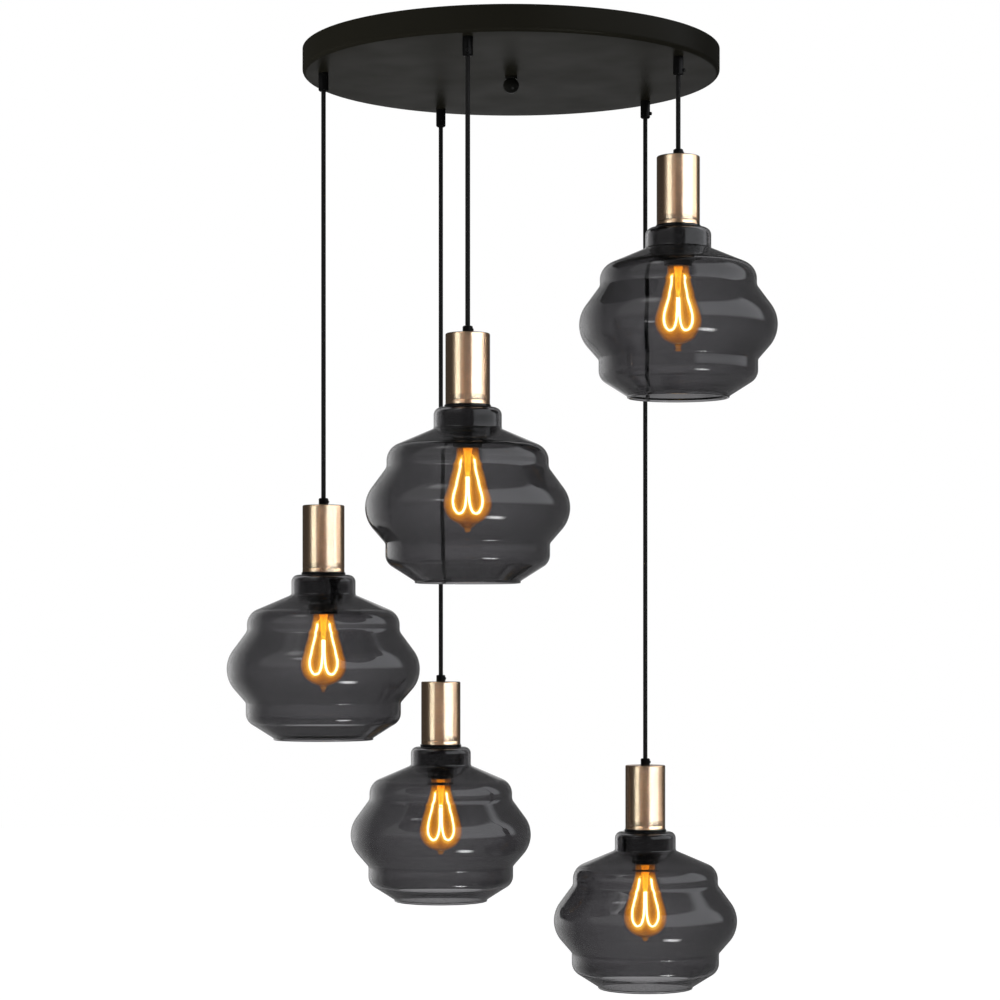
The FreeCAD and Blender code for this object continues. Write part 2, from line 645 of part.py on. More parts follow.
def bulb_filament():
    """The stem that flares to the cap, its two lead wires and the two glowing loops."""
    flare_end = CAP_BOTTOM - STEM_FLARE_LENGTH
    stem_end = CAP_BOTTOM - STEM_LENGTH
    stem = turned_outline([
        (0, CAP_FLOOR, 0),
        (STEM_FLARE_RADIUS, CAP_FLOOR, 0),
        (STEM_RADIUS, flare_end, 0),
        (STEM_RADIUS, stem_end, 0),
        (0, stem_end, 0),
        (0, CAP_FLOOR, 0),
    ])
    arm_height = CAP_BOTTOM - LOOP_TOP_DEPTH
    arm = Part.makeCylinder(WIRE_RADIUS, 2 * LOOP_TOP_REACH, V(-LOOP_TOP_REACH, 0, arm_height), V(1, 0, 0))
    return stem.multiFuse([arm, filament_loop(-1), filament_loop(1)])


# ---- write one file for each sub-part ----
FIXED = {
    "canopy": canopy,
    "ceiling_bracket": ceiling_bracket,
    "centre_stud": centre_stud,
    "stud_nuts": stud_nuts,
    "ball_nut": ball_nut,
    "terminal_box": terminal_box,
    "cord_tails": cord_tails,
}
GROUPS = {"cord_grips": cord_grip, "grip_screws": grip_screw, "grip_nuts": grip_nut}
LAMP_PIECES = {
    "sleeve_grip": sleeve_grip,
    "sleeve": sleeve,
    "flange_ring": flange_ring,
    "retaining_ring": retaining_ring,
    "lampholder": lampholder,
    "shade": shade,
    "bulb_base": bulb_base,
    "bulb_glass": bulb_glass,
    "bulb_filament": bulb_filament,
}

os.makedirs("parts", exist_ok=True)
for name, build in FIXED.items():
    build().exportStep(f"parts/{name}.step")
for name, build in GROUPS.items():
    group = Part.makeCompound([build(pendant) for pendant in PENDANTS.values()])
    group.exportStep(f"parts/{name}.step")
for number, pendant in PENDANTS.items():
    cord(pendant).exportStep(f"parts/cord_{number}.step")
for name, build in LAMP_PIECES.items():
    piece = build()
    for number, pendant in PENDANTS.items():
        copy = piece.copy()
        copy.translate(place(pendant) + V(0, 0, CANOPY_UNDERSIDE - pendant["fall"]))
        copy.exportStep(f"parts/{name}_{number}.step")
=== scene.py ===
"""Cluster pendant: a round black canopy and five smoke-glass lamps on straight black cords.

Every new piece is a surface worked out with numpy as whole arrays: a section turned about an
upright axis, or a ring carried along a path. Sizes are in millimetres, heights count from the
piece's own datum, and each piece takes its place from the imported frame, in metres.
"""

import logging
import math
from dataclasses import dataclass
from enum import Enum
from typing import Sequence

import bmesh
import bpy
import numpy as np
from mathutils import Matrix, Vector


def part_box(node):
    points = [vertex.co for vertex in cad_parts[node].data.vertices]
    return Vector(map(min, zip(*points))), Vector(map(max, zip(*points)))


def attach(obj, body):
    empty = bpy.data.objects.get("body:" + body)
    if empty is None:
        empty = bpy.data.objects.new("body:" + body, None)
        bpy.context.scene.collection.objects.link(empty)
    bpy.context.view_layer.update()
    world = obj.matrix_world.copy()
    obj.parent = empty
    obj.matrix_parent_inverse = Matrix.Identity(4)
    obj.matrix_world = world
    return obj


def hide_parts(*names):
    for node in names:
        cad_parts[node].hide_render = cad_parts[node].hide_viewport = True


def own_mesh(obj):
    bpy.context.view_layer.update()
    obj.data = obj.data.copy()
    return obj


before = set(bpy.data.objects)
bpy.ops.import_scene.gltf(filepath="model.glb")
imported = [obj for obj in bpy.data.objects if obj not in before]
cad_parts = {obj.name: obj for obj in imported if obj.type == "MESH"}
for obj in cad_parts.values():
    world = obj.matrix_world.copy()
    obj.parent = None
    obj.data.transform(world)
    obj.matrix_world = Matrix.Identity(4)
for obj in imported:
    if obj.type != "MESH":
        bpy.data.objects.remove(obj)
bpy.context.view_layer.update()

MM = 0.001
PENDANT_NUMBERS = (1, 2, 3, 4, 5)
SHARP_ANGLE = math.radians(38)
MERGE_DISTANCE = 1e-7
FRONT_TO_BACK = (0.0, 1.0, 0.0)
WHITE = (1.0, 1.0, 1.0)

Corner = tuple[float, float, float]
Colour = tuple[float, float, float]
Socket = bpy.types.NodeSocket

log = logging.getLogger("cluster_pendant")


class Slot(Enum):
    """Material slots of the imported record."""

    CANOPY = "canopy_black"
    BRACKET = "bracket_zinc"
    STEEL = "stud_steel"
    BALL = "ball_black"
    GRIP = "grip_black"
    SCREW = "screw_black"
    BOX = "box_white"
    CORD = "cord_black"
    SLEEVE = "sleeve_brass"
    RING = "ring_black"
    HOLDER = "holder_black"
    SHADE = "smoke_glass"
    BULB = "bulb_amber"
    CAP = "cap_brass"
    FILAMENT = "filament_glow"


# ---------------------------------------------------------------- surfaces


@dataclass
class Surface:
    """A mesh as whole arrays: points (n, 3) in millimetres and four-cornered faces (m, 4).

    A face with two corners in one place is a triangle once the points are merged.
    """

    points: np.ndarray
    faces: np.ndarray
    uv: np.ndarray | None = None

    def moved(self, offset: Sequence[float]) -> "Surface":
        """The same surface, shifted by an offset in millimetres."""
        return Surface(self.points + np.asarray(offset, float), self.faces, self.uv)

    def turned(self, matrix: np.ndarray) -> "Surface":
        """The same surface, turned about the origin by a 3 by 3 matrix."""
        return Surface(self.points @ matrix.T, self.faces, self.uv)


def joined(surfaces: Sequence[Surface]) -> Surface:
    """Puts several surfaces into one, without merging their points.

    Args:
        surfaces: the surfaces, all with or all without a UV map.

    Returns:
        One surface that holds them all.
    """
    starts = np.cumsum([0] + [len(s.points) for s in surfaces[:-1]])
    faces = np.vstack([s.faces + start for s, start in zip(surfaces, starts)])
    uv = None if surfaces[0].uv is None else np.vstack([s.uv for s in surfaces])
    return Surface(np.vstack([s.points for s in surfaces]), faces, uv)


def unit(vector: np.ndarray) -> np.ndarray:
    """The vector, or each row of them, at length one."""
    return vector / np.linalg.norm(vector, axis=-1, keepdims=True)


def refined(path: np.ndarray, run: float) -> np.ndarray:
    """Divides each straight run of a path into equal parts no longer than a limit.

    Point k of a run of n parts lies at start + (end - start) * k / n.

    Args:
        path: points (n, 2) or (n, 3).
        run: the longest part, in the path's unit.

    Returns:
        The path with the added points.
    """
    step = np.diff(path, axis=0)
    parts = np.maximum(1, np.ceil(np.linalg.norm(step, axis=1) / run)).astype(int)
    which = np.repeat(np.arange(len(parts)), parts)
    order = np.arange(len(which)) - np.repeat(np.cumsum(parts) - parts, parts)
    inner = path[which] + step[which] * (order / parts[which])[:, None]
    return np.vstack([inner, path[-1:]])


def outline(corners: Sequence[Corner], turn: float = 6.0, run: float = 7.0) -> np.ndarray:
    """Points of a section with corners (radius, height, round) joined by straight runs.

    A rounded corner is an arc tangent to both runs. Its centre lies on the corner's bisector,
    round / sin(half the corner's angle) away, and its points are centre + round * (cos t, sin t).

    Args:
        corners: the corners in order; the first and the last stay sharp.
        turn: the largest turn between two points of an arc, in degrees.
        run: the longest straight part, in millimetres.

    Returns:
        Section points (n, 2) as radius and height.
    """
    spots = np.array([corner[:2] for corner in corners], float)
    points = [spots[:1]]
    for before, here, after, corner in zip(spots, spots[1:], spots[2:], corners[1:]):
        bend = corner[2]
        if bend <= 0:
            points.append(here[None])
            continue
        back, ahead = unit(before - here), unit(after - here)
        half = math.acos(float(np.clip(back @ ahead, -1, 1))) / 2
        centre = here + unit(back + ahead) * bend / math.sin(half)
        start = here + back * bend / math.tan(half) - centre
        end = here + ahead * bend / math.tan(half) - centre
        sweep = math.atan2(start[0] * end[1] - start[1] * end[0], float(start @ end))
        steps = max(2, math.ceil(abs(math.degrees(sweep)) / turn))
        angles = math.atan2(start[1], start[0]) + sweep * np.linspace(0, 1, steps + 1)
        points.append(centre + bend * np.stack([np.cos(angles), np.sin(angles)], axis=1))
    points.append(spots[-1:])
    return refined(np.vstack(points), run)


def closed_outline(corners: Sequence[Corner], turn: float = 6.0, run: float = 7.0) -> np.ndarray:
    """The outline of a closed section, whose last corner runs on to its first one."""
    return outline([*corners, corners[0]], turn, run)[:-1]


def inward(corners: Sequence[Corner], wall: float, smallest: float = 0.3) -> list[Corner]:
    """The outline moved sideways by a wall, to the right of its direction.

    A corner moves along its bisector by wall / cos(half its turn), and its round grows on the
    outer side of a turn and shrinks on the inner side, so that the wall stays even.

    Args:
        corners: the outline's corners.
        wall: how far it moves, in millimetres.
        smallest: the smallest round that a rounded corner keeps.

    Returns:
        The moved corners.
    """
    spots = np.array([corner[:2] for corner in corners], float)
    runs = unit(np.diff(spots, axis=0))
    sides = np.stack([-runs[:, 1], runs[:, 0]], axis=1)
    both = sides[:-1] + sides[1:]
    share = wall / (1 + np.sum(sides[:-1] * sides[1:], axis=1))
    moved = np.vstack([spots[:1] - sides[:1] * wall, spots[1:-1] - both * share[:, None],
                       spots[-1:] - sides[-1:] * wall])
    turns = runs[:-1, 0] * runs[1:, 1] - runs[:-1, 1] * runs[1:, 0]
    change = np.concatenate([[0.0], np.where(turns < 0, -wall, wall), [0.0]])
    given = np.array([corner[2] for corner in corners])
    rounds = np.where(given > 0, np.maximum(given + change, smallest), 0.0)
    return [(float(r), float(z), float(b)) for (r, z), b in zip(moved, rounds)]


def grid_faces(rows: int, columns: int, rows_close: bool, columns_close: bool) -> np.ndarray:
    """Corner numbers of the faces between neighbouring points of a grid.

    Face (i, j) joins points (i, j), (i, j + 1), (i + 1, j + 1) and (i + 1, j), and a direction
    that closes wraps round to its start.

    Args:
        rows: points in the first direction.
        columns: points in the second direction.
        rows_close: whether the last row joins the first.
        columns_close: whether the last column joins the first.

    Returns:
        Corner numbers (m, 4).
    """
    i = np.arange(rows if rows_close else rows - 1)[:, None]
    j = np.arange(columns if columns_close else columns - 1)[None]
    down, across = (i + 1) % rows, (j + 1) % columns
    corners = [i * columns + j, i * columns + across, down * columns + across, down * columns + j]
    return np.stack([np.broadcast_to(c, (i.size, j.size)) for c in corners], axis=-1).reshape(-1, 4)


def revolved(section: np.ndarray, closed: bool = True, sides: int = 96) -> Surface:
    """Turns a section about the upright axis: (r cos t, r sin t, h) for every angle t.

    Args:
        section: points (n, 2) as radius and height.
        closed: whether the section's last point joins its first; an open section ends at poles.
        sides: how many angles make the full turn.

    Returns:
        The turned surface.
    """
    angle = 2 * np.pi * np.arange(sides) / sides
    radius, height = section[:, :1], np.broadcast_to(section[:, 1:], (len(section), sides))
    points = np.stack([radius * np.cos(angle), radius * np.sin(angle), height], axis=-1)
    return Surface(points.reshape(-1, 3), grid_faces(len(section), sides, closed, True))


def swept(path: np.ndarray, radii: np.ndarray, sides: int) -> Surface:
    """A tube with closed ends along a path that lies in an upright plane, left to right.

    Ring k is path[k] + radii[k] * (cos t * side + sin t * across), where across points from
    front to back and side is square to it and to the path. The map's u goes round the tube and
    v along it, both in millimetres.

    Args:
        path: points (n, 3).
        radii: the tube's radius at each point; a radius of 0 at the ends closes it.
        sides: points in each ring.

    Returns:
        The tube's surface, with a UV map.
    """
    across = np.array(FRONT_TO_BACK)
    side = unit(np.cross(np.gradient(path, axis=0), across))
    angle = 2 * np.pi * np.arange(sides) / sides
    ring = np.cos(angle)[None, :, None] * side[:, None] + np.sin(angle)[None, :, None] * across
    points = path[:, None] + np.asarray(radii)[:, None, None] * ring
    along = np.concatenate([[0.0], np.cumsum(np.linalg.norm(np.diff(path, axis=0), axis=1))])
    row = np.repeat(np.arange(len(path) - 1), sides)[:, None] + np.array([0, 0, 1, 1])
    column = np.tile(np.arange(sides), len(path) - 1)[:, None] + np.array([0, 1, 1, 0])
    girth = 2 * np.pi * float(np.max(radii))
    uv = np.stack([column / sides * girth, along[row]], axis=-1)
    return Surface(points.reshape(-1, 3), grid_faces(len(path), sides, False, True), uv)


def threaded(radius: float, depth: float, pitch: float, low: float, high: float,
             sides: int = 48) -> Surface:
    """A threaded rod with closed ends.

    The radius at angle t and height h is radius - depth * (1 - cos(2 pi h / pitch - t)) / 2, a
    rounded groove that climbs by one pitch a turn; the groove fades out at both ends.

    Args:
        radius: the crest's radius.
        depth: the groove's depth.
        pitch: the climb in one turn.
        low: the lower end's height.
        high: the upper end's height.
        sides: points round the rod.

    Returns:
        The rod's surface.
    """
    rows = max(8, int((high - low) / pitch * 8))
    height = np.linspace(low, high, rows)[:, None]
    angle = (2 * np.pi * np.arange(sides) / sides)[None]
    fade = np.clip(np.minimum(height - low, high - height) / pitch, 0, 1)
    wave = radius - depth * (1 - fade * np.cos(2 * np.pi * height / pitch - angle)) / 2
    wave = np.vstack([np.zeros((1, sides)), wave, np.zeros((1, sides))])
    level = np.vstack([height[:1], height, height[-1:]])
    points = np.stack([wave * np.cos(angle), wave * np.sin(angle),
                       np.broadcast_to(level, wave.shape)], axis=-1)
    return Surface(points.reshape(-1, 3), grid_faces(rows + 2, sides, False, True))


def smooth_line(spots: Sequence[Sequence[float]], steps: int = 6) -> np.ndarray:
    """A smooth line through spots, with each end's run carried on past it.

    Between spots b and c, with a before and d after, the point at share t is
    b + t (c - a) / 2 + t^2 (a - 5b / 2 + 2c - d / 2) + t^3 (3b - a - 3c + d) / 2.

    Args:
        spots: the points (x, z) that the line passes, in order.
        steps: parts between two spots.

    Returns:
        Points (n, 3) along the line, in the plane y = 0.
    """
    at = np.asarray(spots, float)
    at = np.vstack([2 * at[:1] - at[1:2], at, 2 * at[-1:] - at[-2:-1]])
    a, b, c, d = (at[k:len(at) - 3 + k, None] for k in range(4))
    t = (np.arange(steps) / steps)[None, :, None]
    line = (b + t * (c - a) / 2 + t ** 2 * (a - 2.5 * b + 2 * c - d / 2)
            + t ** 3 * (3 * b - a - 3 * c + d) / 2)
    flat = np.vstack([line.reshape(-1, 2), at[-2:-1]])
    return np.stack([flat[:, 0], np.zeros(len(flat)), flat[:, 1]], axis=1)


def facing(degrees: float) -> np.ndarray:
    """The matrix that lays an upright piece level, with its top towards an azimuth.

    Args:
        degrees: the azimuth.

    Returns:
        A 3 by 3 matrix.
    """
    c, s = math.cos(math.radians(degrees)), math.sin(math.radians(degrees))
    upright_to_x = np.array([[0.0, 0.0, 1.0], [0.0, 1.0, 0.0], [-1.0, 0.0, 0.0]])
    return np.array([[c, -s, 0.0], [s, c, 0.0], [0.0, 0.0, 1.0]]) @ upright_to_x


def points_of(mesh: bpy.types.Mesh) -> np.ndarray:
    """Reads a mesh's points.

    Args:
        mesh: the mesh.

    Returns:
        Points (n, 3), in metres.
    """
    points = np.zeros(len(mesh.vertices) * 3, np.float32)
    mesh.vertices.foreach_get("co", points)
    return points.reshape(-1, 3)


def add_object(name: str, data: bpy.types.ID, unseen: Sequence[str] = ()) -> bpy.types.Object:
    """Adds an object to the scene.

    Args:
        name: its name.
        data: its mesh, light or camera.
        unseen: the kinds of ray that pass it by, such as "glossy".

    Returns:
        The new object.
    """
    added = bpy.data.objects.new(name, data)
    for kind in unseen:
        setattr(added, "visible_" + kind, False)
    bpy.context.scene.collection.objects.link(added)
    return added


def new_piece(name: str, surface: Surface, finish: bpy.types.Material) -> bpy.types.Object:
    """Makes an object at the origin, whose place is in its mesh.

    Its poles are merged, its faces point outwards, and it is smooth-shaded, sharp only where its
    faces meet at a real corner.

    Args:
        name: the piece's name.
        surface: its surface, in millimetres.
        finish: its material.

    Returns:
        The new object.
    """
    mesh = bpy.data.meshes.new(name)
    mesh.from_pydata((surface.points * MM).tolist(), [], surface.faces.tolist())
    if surface.uv is not None:
        layer = mesh.uv_layers.new(name="along")
        layer.data.foreach_set("uv", (surface.uv * MM).astype(np.float32).ravel())
    work = bmesh.new()
    work.from_mesh(mesh)
    bmesh.ops.remove_doubles(work, verts=work.verts, dist=MERGE_DISTANCE)
    bmesh.ops.recalc_face_normals(work, faces=work.faces)
    work.to_mesh(mesh)
    work.free()
    mesh.shade_smooth()
    mesh.set_sharp_from_angle(angle=SHARP_ANGLE)
    mesh.materials.append(finish)
    return add_object(name, mesh)


def cut(piece: bpy.types.Object, cutter: Surface) -> None:
    """Takes a cutter's volume out of a piece and keeps the piece smooth.

    Args:
        piece: the piece, whose mesh is replaced.
        cutter: a closed surface, in millimetres.
    """
    tool = new_piece(piece.name + "_cutter", cutter, piece.data.materials[0])
    modifier = piece.modifiers.new("cut", "BOOLEAN")
    modifier.operation = "DIFFERENCE"
    modifier.solver = "EXACT"
    modifier.object = tool
    result = piece.evaluated_get(bpy.context.evaluated_depsgraph_get())
    mesh = bpy.data.meshes.new_from_object(result)
    piece.modifiers.remove(modifier)
    piece.data = mesh
    bpy.data.objects.remove(tool)
    mesh.shade_smooth()
    mesh.set_sharp_from_angle(angle=SHARP_ANGLE)


# ---------------------------------------------------------------- finishes


class Nodes:
    """A node tree whose nodes are added and joined in short lines."""

    def __init__(self, tree: bpy.types.NodeTree) -> None:
        """Takes the tree to build in."""
        self.tree = tree

    def add(self, kind: str, **settings: object) -> bpy.types.Node:
        """Adds a node.

        Args:
            kind: the node's type, without its first word.
            settings: each names one of the node's properties or, with spaces as _, an input.

        Returns:
            The new node.
        """
        node = self.tree.nodes.new("ShaderNode" + kind)
        for name, value in settings.items():
            if hasattr(node, name):
                setattr(node, name, value)
            else:
                node.inputs[name.replace("_", " ")].default_value = value
        return node

    def link(self, source: Socket, node: bpy.types.Node, socket: str | int) -> None:
        """Joins a node's output to another node's input."""
        self.tree.links.new(source, node.inputs[socket])

    def largest(self, *sources: Socket) -> Socket:
        """Compares several values.

        Args:
            sources: the values.

        Returns:
            The largest one.
        """
        result = sources[0]
        for source in sources[1:]:
            node = self.add("Math", operation="MAXIMUM")
            self.link(result, node, 0)
            self.link(source, node, 1)
            result = node.outputs["Value"]
        return result

    def seen(self, *kinds: str) -> Socket:
        """1 for rays of the named kinds, such as "Camera", and 0 for all others."""
        rays = self.add("LightPath")
        return self.largest(*(rays.outputs[f"Is {kind} Ray"] for kind in kinds))


class Recipe(Nodes):
    """The nodes of one material, round one principled shader."""

    def __init__(self, name: str) -> None:
        """Starts a material with a principled shader on its output.

        Args:
            name: the material's name.
        """
        self.material = bpy.data.materials.new(name)
        self.material.use_nodes = True
        super().__init__(self.material.node_tree)
        self.shader = self.tree.nodes["Principled BSDF"]

    def set(self, **values: object) -> None:
        """Sets numbers and colours on the principled shader's own sockets.

        Args:
            values: each names a socket, with spaces as _.
        """
        for name, value in values.items():
            socket = self.shader.inputs[name.replace("_", " ")]
            socket.default_value = (*value, 1.0) if isinstance(value, tuple) else value

    def noise(self, scale: float, stretch: Corner = (1, 1, 1), detail: float = 3.0) -> Socket:
        """A noise pattern on the object's own coordinates.

        Args:
            scale: waves to the metre.
            stretch: a factor for each axis.
            detail: how many finer layers it has.

        Returns:
            The pattern's value, about 0.5 on average.
        """
        mapping = self.add("Mapping", Scale=stretch)
        pattern = self.add("TexNoise", Scale=scale, Detail=detail)
        self.link(self.add("TexCoord").outputs["Object"], mapping, "Vector")
        self.link(mapping.outputs["Vector"], pattern, "Vector")
        return pattern.outputs["Fac"]

    def vary(self, value: Socket, low: float, high: float) -> None:
        """Lets the roughness follow a pattern.

        Args:
            value: the pattern.
            low: the roughness where the pattern is 0.3 or less.
            high: the roughness where it is 0.7 or more.
        """
        node = self.add("MapRange", From_Min=0.3, From_Max=0.7, To_Min=low, To_Max=high)
        self.link(value, node, "Value")
        self.link(node.outputs["Result"], self.shader, "Roughness")

    def tint(self, value: Socket, one: Colour, factor: float) -> Socket:
        """Colours the surface by a pattern.

        Args:
            value: the pattern.
            one: the colour where the pattern is 0.
            factor: how many times as bright it is where the pattern is 1, up to full.

        Returns:
            The mixed colour.
        """
        mix = self.add("Mix", data_type="RGBA")
        mix.inputs[6].default_value = (*one, 1.0)
        mix.inputs[7].default_value = (*(min(1.0, c * factor) for c in one), 1.0)
        self.link(value, mix, 0)
        self.link(mix.outputs[2], self.shader, "Base Color")
        return mix.outputs[2]

    def shine(self, colour: Socket, mirrored: float = 0.04) -> None:
        """Gives the surface its own light.

        Args:
            colour: the light's colour.
            mirrored: the share of it that mirror images keep.
        """
        rays = self.add("LightPath")
        share = self.add("MapRange", From_Min=0.0, From_Max=1.0, To_Min=1.0, To_Max=mirrored)
        self.link(rays.outputs["Glossy Depth"], share, "Value")
        scaled = self.add("VectorMath", operation="SCALE")
        self.link(colour, scaled, 0)
        self.link(share.outputs["Result"], scaled, "Scale")
        self.link(scaled.outputs["Vector"], self.shader, "Emission Color")

    def bump(self, value: Socket, depth: float) -> None:
        """Raises the surface by a pattern.

        Args:
            value: the pattern.
            depth: how far it is raised where the pattern is 1, in metres.
        """
        node = self.add("Bump", Distance=depth, Strength=1.0)
        self.link(value, node, "Height")
        self.link(node.outputs["Normal"], self.shader, "Normal")


@dataclass(frozen=True)
class Coating:
    """Powder coat, or another opaque skin: a slightly uneven colour and gloss over a fine grain."""

    name: str
    colour: Colour
    roughness: float
    specular: float
    cloud: tuple[float, float] = (14.0, 2.0)
    brighter: float = 1.12
    uneven: tuple[float, float] = (-0.03, 0.03)
    grain: float = 900.0
    depth: float = 0.000012

    def material(self) -> bpy.types.Material:
        """Builds the skin.

        Returns:
            The new material.
        """
        recipe = Recipe(self.name)
        recipe.set(Specular_IOR_Level=self.specular)
        cloud = recipe.noise(self.cloud[0], detail=self.cloud[1])
        recipe.tint(cloud, self.colour, self.brighter)
        recipe.vary(cloud, *(self.roughness + change for change in self.uneven))
        recipe.bump(recipe.noise(self.grain), self.depth)
        return recipe.material


@dataclass(frozen=True)
class MouldedPlastic(Coating):
    """Moulded plastic: a clear gloss, and a faint unevenness from the mould."""

    cloud: tuple[float, float] = (60.0, 3.0)
    brighter: float = 1.15
    uneven: tuple[float, float] = (-0.02, 0.03)
    grain: float = 1400.0
    depth: float = 0.000004


@dataclass(frozen=True)
class LathedMetal:
    """Bare metal turned or rolled on a lathe, its gloss drawn out across the fine level lines.

    Fine lines show as the drawn gloss alone. Others are a noise, drawn out level and packed
    along the height.
    """

    name: str
    colour: Colour
    roughness: float
    drawn: float = 0.0
    fine: bool = False
    lines: float = 2600.0
    groove: float = 0.0000015
    uneven: float = 0.05

    def material(self) -> bpy.types.Material:
        """Builds the metal.

        Returns:
            The new material.
        """
        recipe = Recipe(self.name)
        recipe.set(Metallic=1.0, Roughness=self.roughness, Anisotropic=self.drawn,
                   Anisotropic_Rotation=0.25)
        recipe.tint(recipe.noise(22.0, detail=2.0), self.colour, 1.06)
        if not self.fine:
            brush = recipe.noise(1.0, (30.0, 30.0, self.lines), 4.0)
            recipe.vary(brush, self.roughness - self.uneven, self.roughness + self.uneven)
            recipe.bump(brush, self.groove)
        return recipe.material


@dataclass(frozen=True)
class BlownGlass:
    """Smoke glass: each wall dims the light, more on a slanting way, and the skin is wavy."""

    name: str
    colour: Colour
    slanting: float
    haze: float
    ior: float = 1.45
    wave: float = 0.00006

    def material(self) -> bpy.types.Material:
        """Builds the glass, whose colour deepens where it is seen at a slant.

        Returns:
            The new material.
        """
        recipe = Recipe(self.name)
        recipe.set(Transmission_Weight=1.0, Roughness=0.0, IOR=self.ior,
                   Sheen_Weight=self.haze, Sheen_Roughness=0.35)
        slant = recipe.add("LayerWeight", Blend=0.5)
        recipe.tint(slant.outputs["Facing"], self.colour, self.slanting)
        recipe.bump(recipe.noise(26.0, (1, 1, 2.2), 1.0), self.wave)
        return recipe.material


@dataclass(frozen=True)
class GlowingBulbGlass:
    """Amber bulb glass, lit from inside: its skin glows where the piece's own map says so.

    The map "glow" runs from 0, unlit, to 1, next to the filament, and the stops give the light's
    colour at places of the map. The glow is painted light: emission painted on the glass's skin
    that stands in for the filament's light in the glass.
    """

    name: str
    colour: Colour
    stops: tuple[tuple[float, Colour], ...]
    strength: float
    clear: float = 0.95

    def material(self) -> bpy.types.Material:
        """Builds the glass; its own light grows and yellows with the map.

        Returns:
            The new material.
        """
        recipe = Recipe(self.name)
        recipe.set(Transmission_Weight=self.clear, Roughness=0.0, IOR=1.3,
                   Emission_Strength=self.strength)
        recipe.tint(recipe.noise(30.0, detail=1.0), self.colour, 1.08)
        ramp = recipe.add("ValToRGB")
        stops = ramp.color_ramp.elements
        first, *between, last = self.stops
        stops[0].position, stops[1].position = first[0], last[0]
        stops[0].color, stops[1].color = (*first[1], 1.0), (*last[1], 1.0)
        for place, colour in between:
            stops.new(place).color = (*colour, 1.0)
        # painted glow: the map sets the emission colour painted on the glass
        recipe.link(recipe.add("Attribute", attribute_name="glow").outputs["Fac"], ramp, "Fac")
        recipe.shine(ramp.outputs["Color"])
        return recipe.material


@dataclass(frozen=True)
class GlowingWire:
    """The filament's own light."""

    name: str
    colour: Colour
    strength: float

    def material(self) -> bpy.types.Material:
        """Builds the light; a fine pattern along the coil varies its colour a little.

        Returns:
            The new material.
        """
        recipe = Recipe(self.name)
        recipe.set(Roughness=0.6, Emission_Strength=self.strength)
        recipe.shine(recipe.tint(recipe.noise(700.0), self.colour, 0.8))
        return recipe.material


@dataclass(frozen=True)
class BraidedSleeve:
    """A cord's woven skin: two sets of slanting ribs that cross, on the cord's own map."""

    name: str
    colour: Colour
    ribs: float = 520.0
    slant: float = 35.0
    valley_shade: float = 0.7
    depth: float = 0.00008

    def material(self) -> bpy.types.Material:
        """Builds the braid from two waves, one for each slant.

        Returns:
            The new material.
        """
        recipe = Recipe(self.name)
        recipe.set(Roughness=0.62, Specular_IOR_Level=0.2, Sheen_Weight=0.06, Sheen_Roughness=0.5)
        place = recipe.add("UVMap", uv_map="along")
        waves = []
        for slant in (self.slant, -self.slant):
            turn = recipe.add("Mapping", Rotation=(0.0, 0.0, math.radians(slant)))
            recipe.link(place.outputs["UV"], turn, "Vector")
            wave = recipe.add("TexWave", Scale=self.ribs / (2 * math.pi), Distortion=0.4)
            recipe.link(turn.outputs["Vector"], wave, "Vector")
            waves.append(wave.outputs["Fac"])
        weave = recipe.largest(*waves)
        # painted shade: the valleys between the ribs are coloured darker than the ribs
        recipe.tint(weave, tuple(c * self.valley_shade for c in self.colour), 1 / self.valley_shade)
        recipe.bump(weave, self.depth)
        return recipe.material


@dataclass(frozen=True)
class Dressing:
    """Every finish, built once: the record's, by slot, and the glass stem's, with painted glow."""

    by_slot: dict[Slot, bpy.types.Material]
    painted_glow_stem: bpy.types.Material


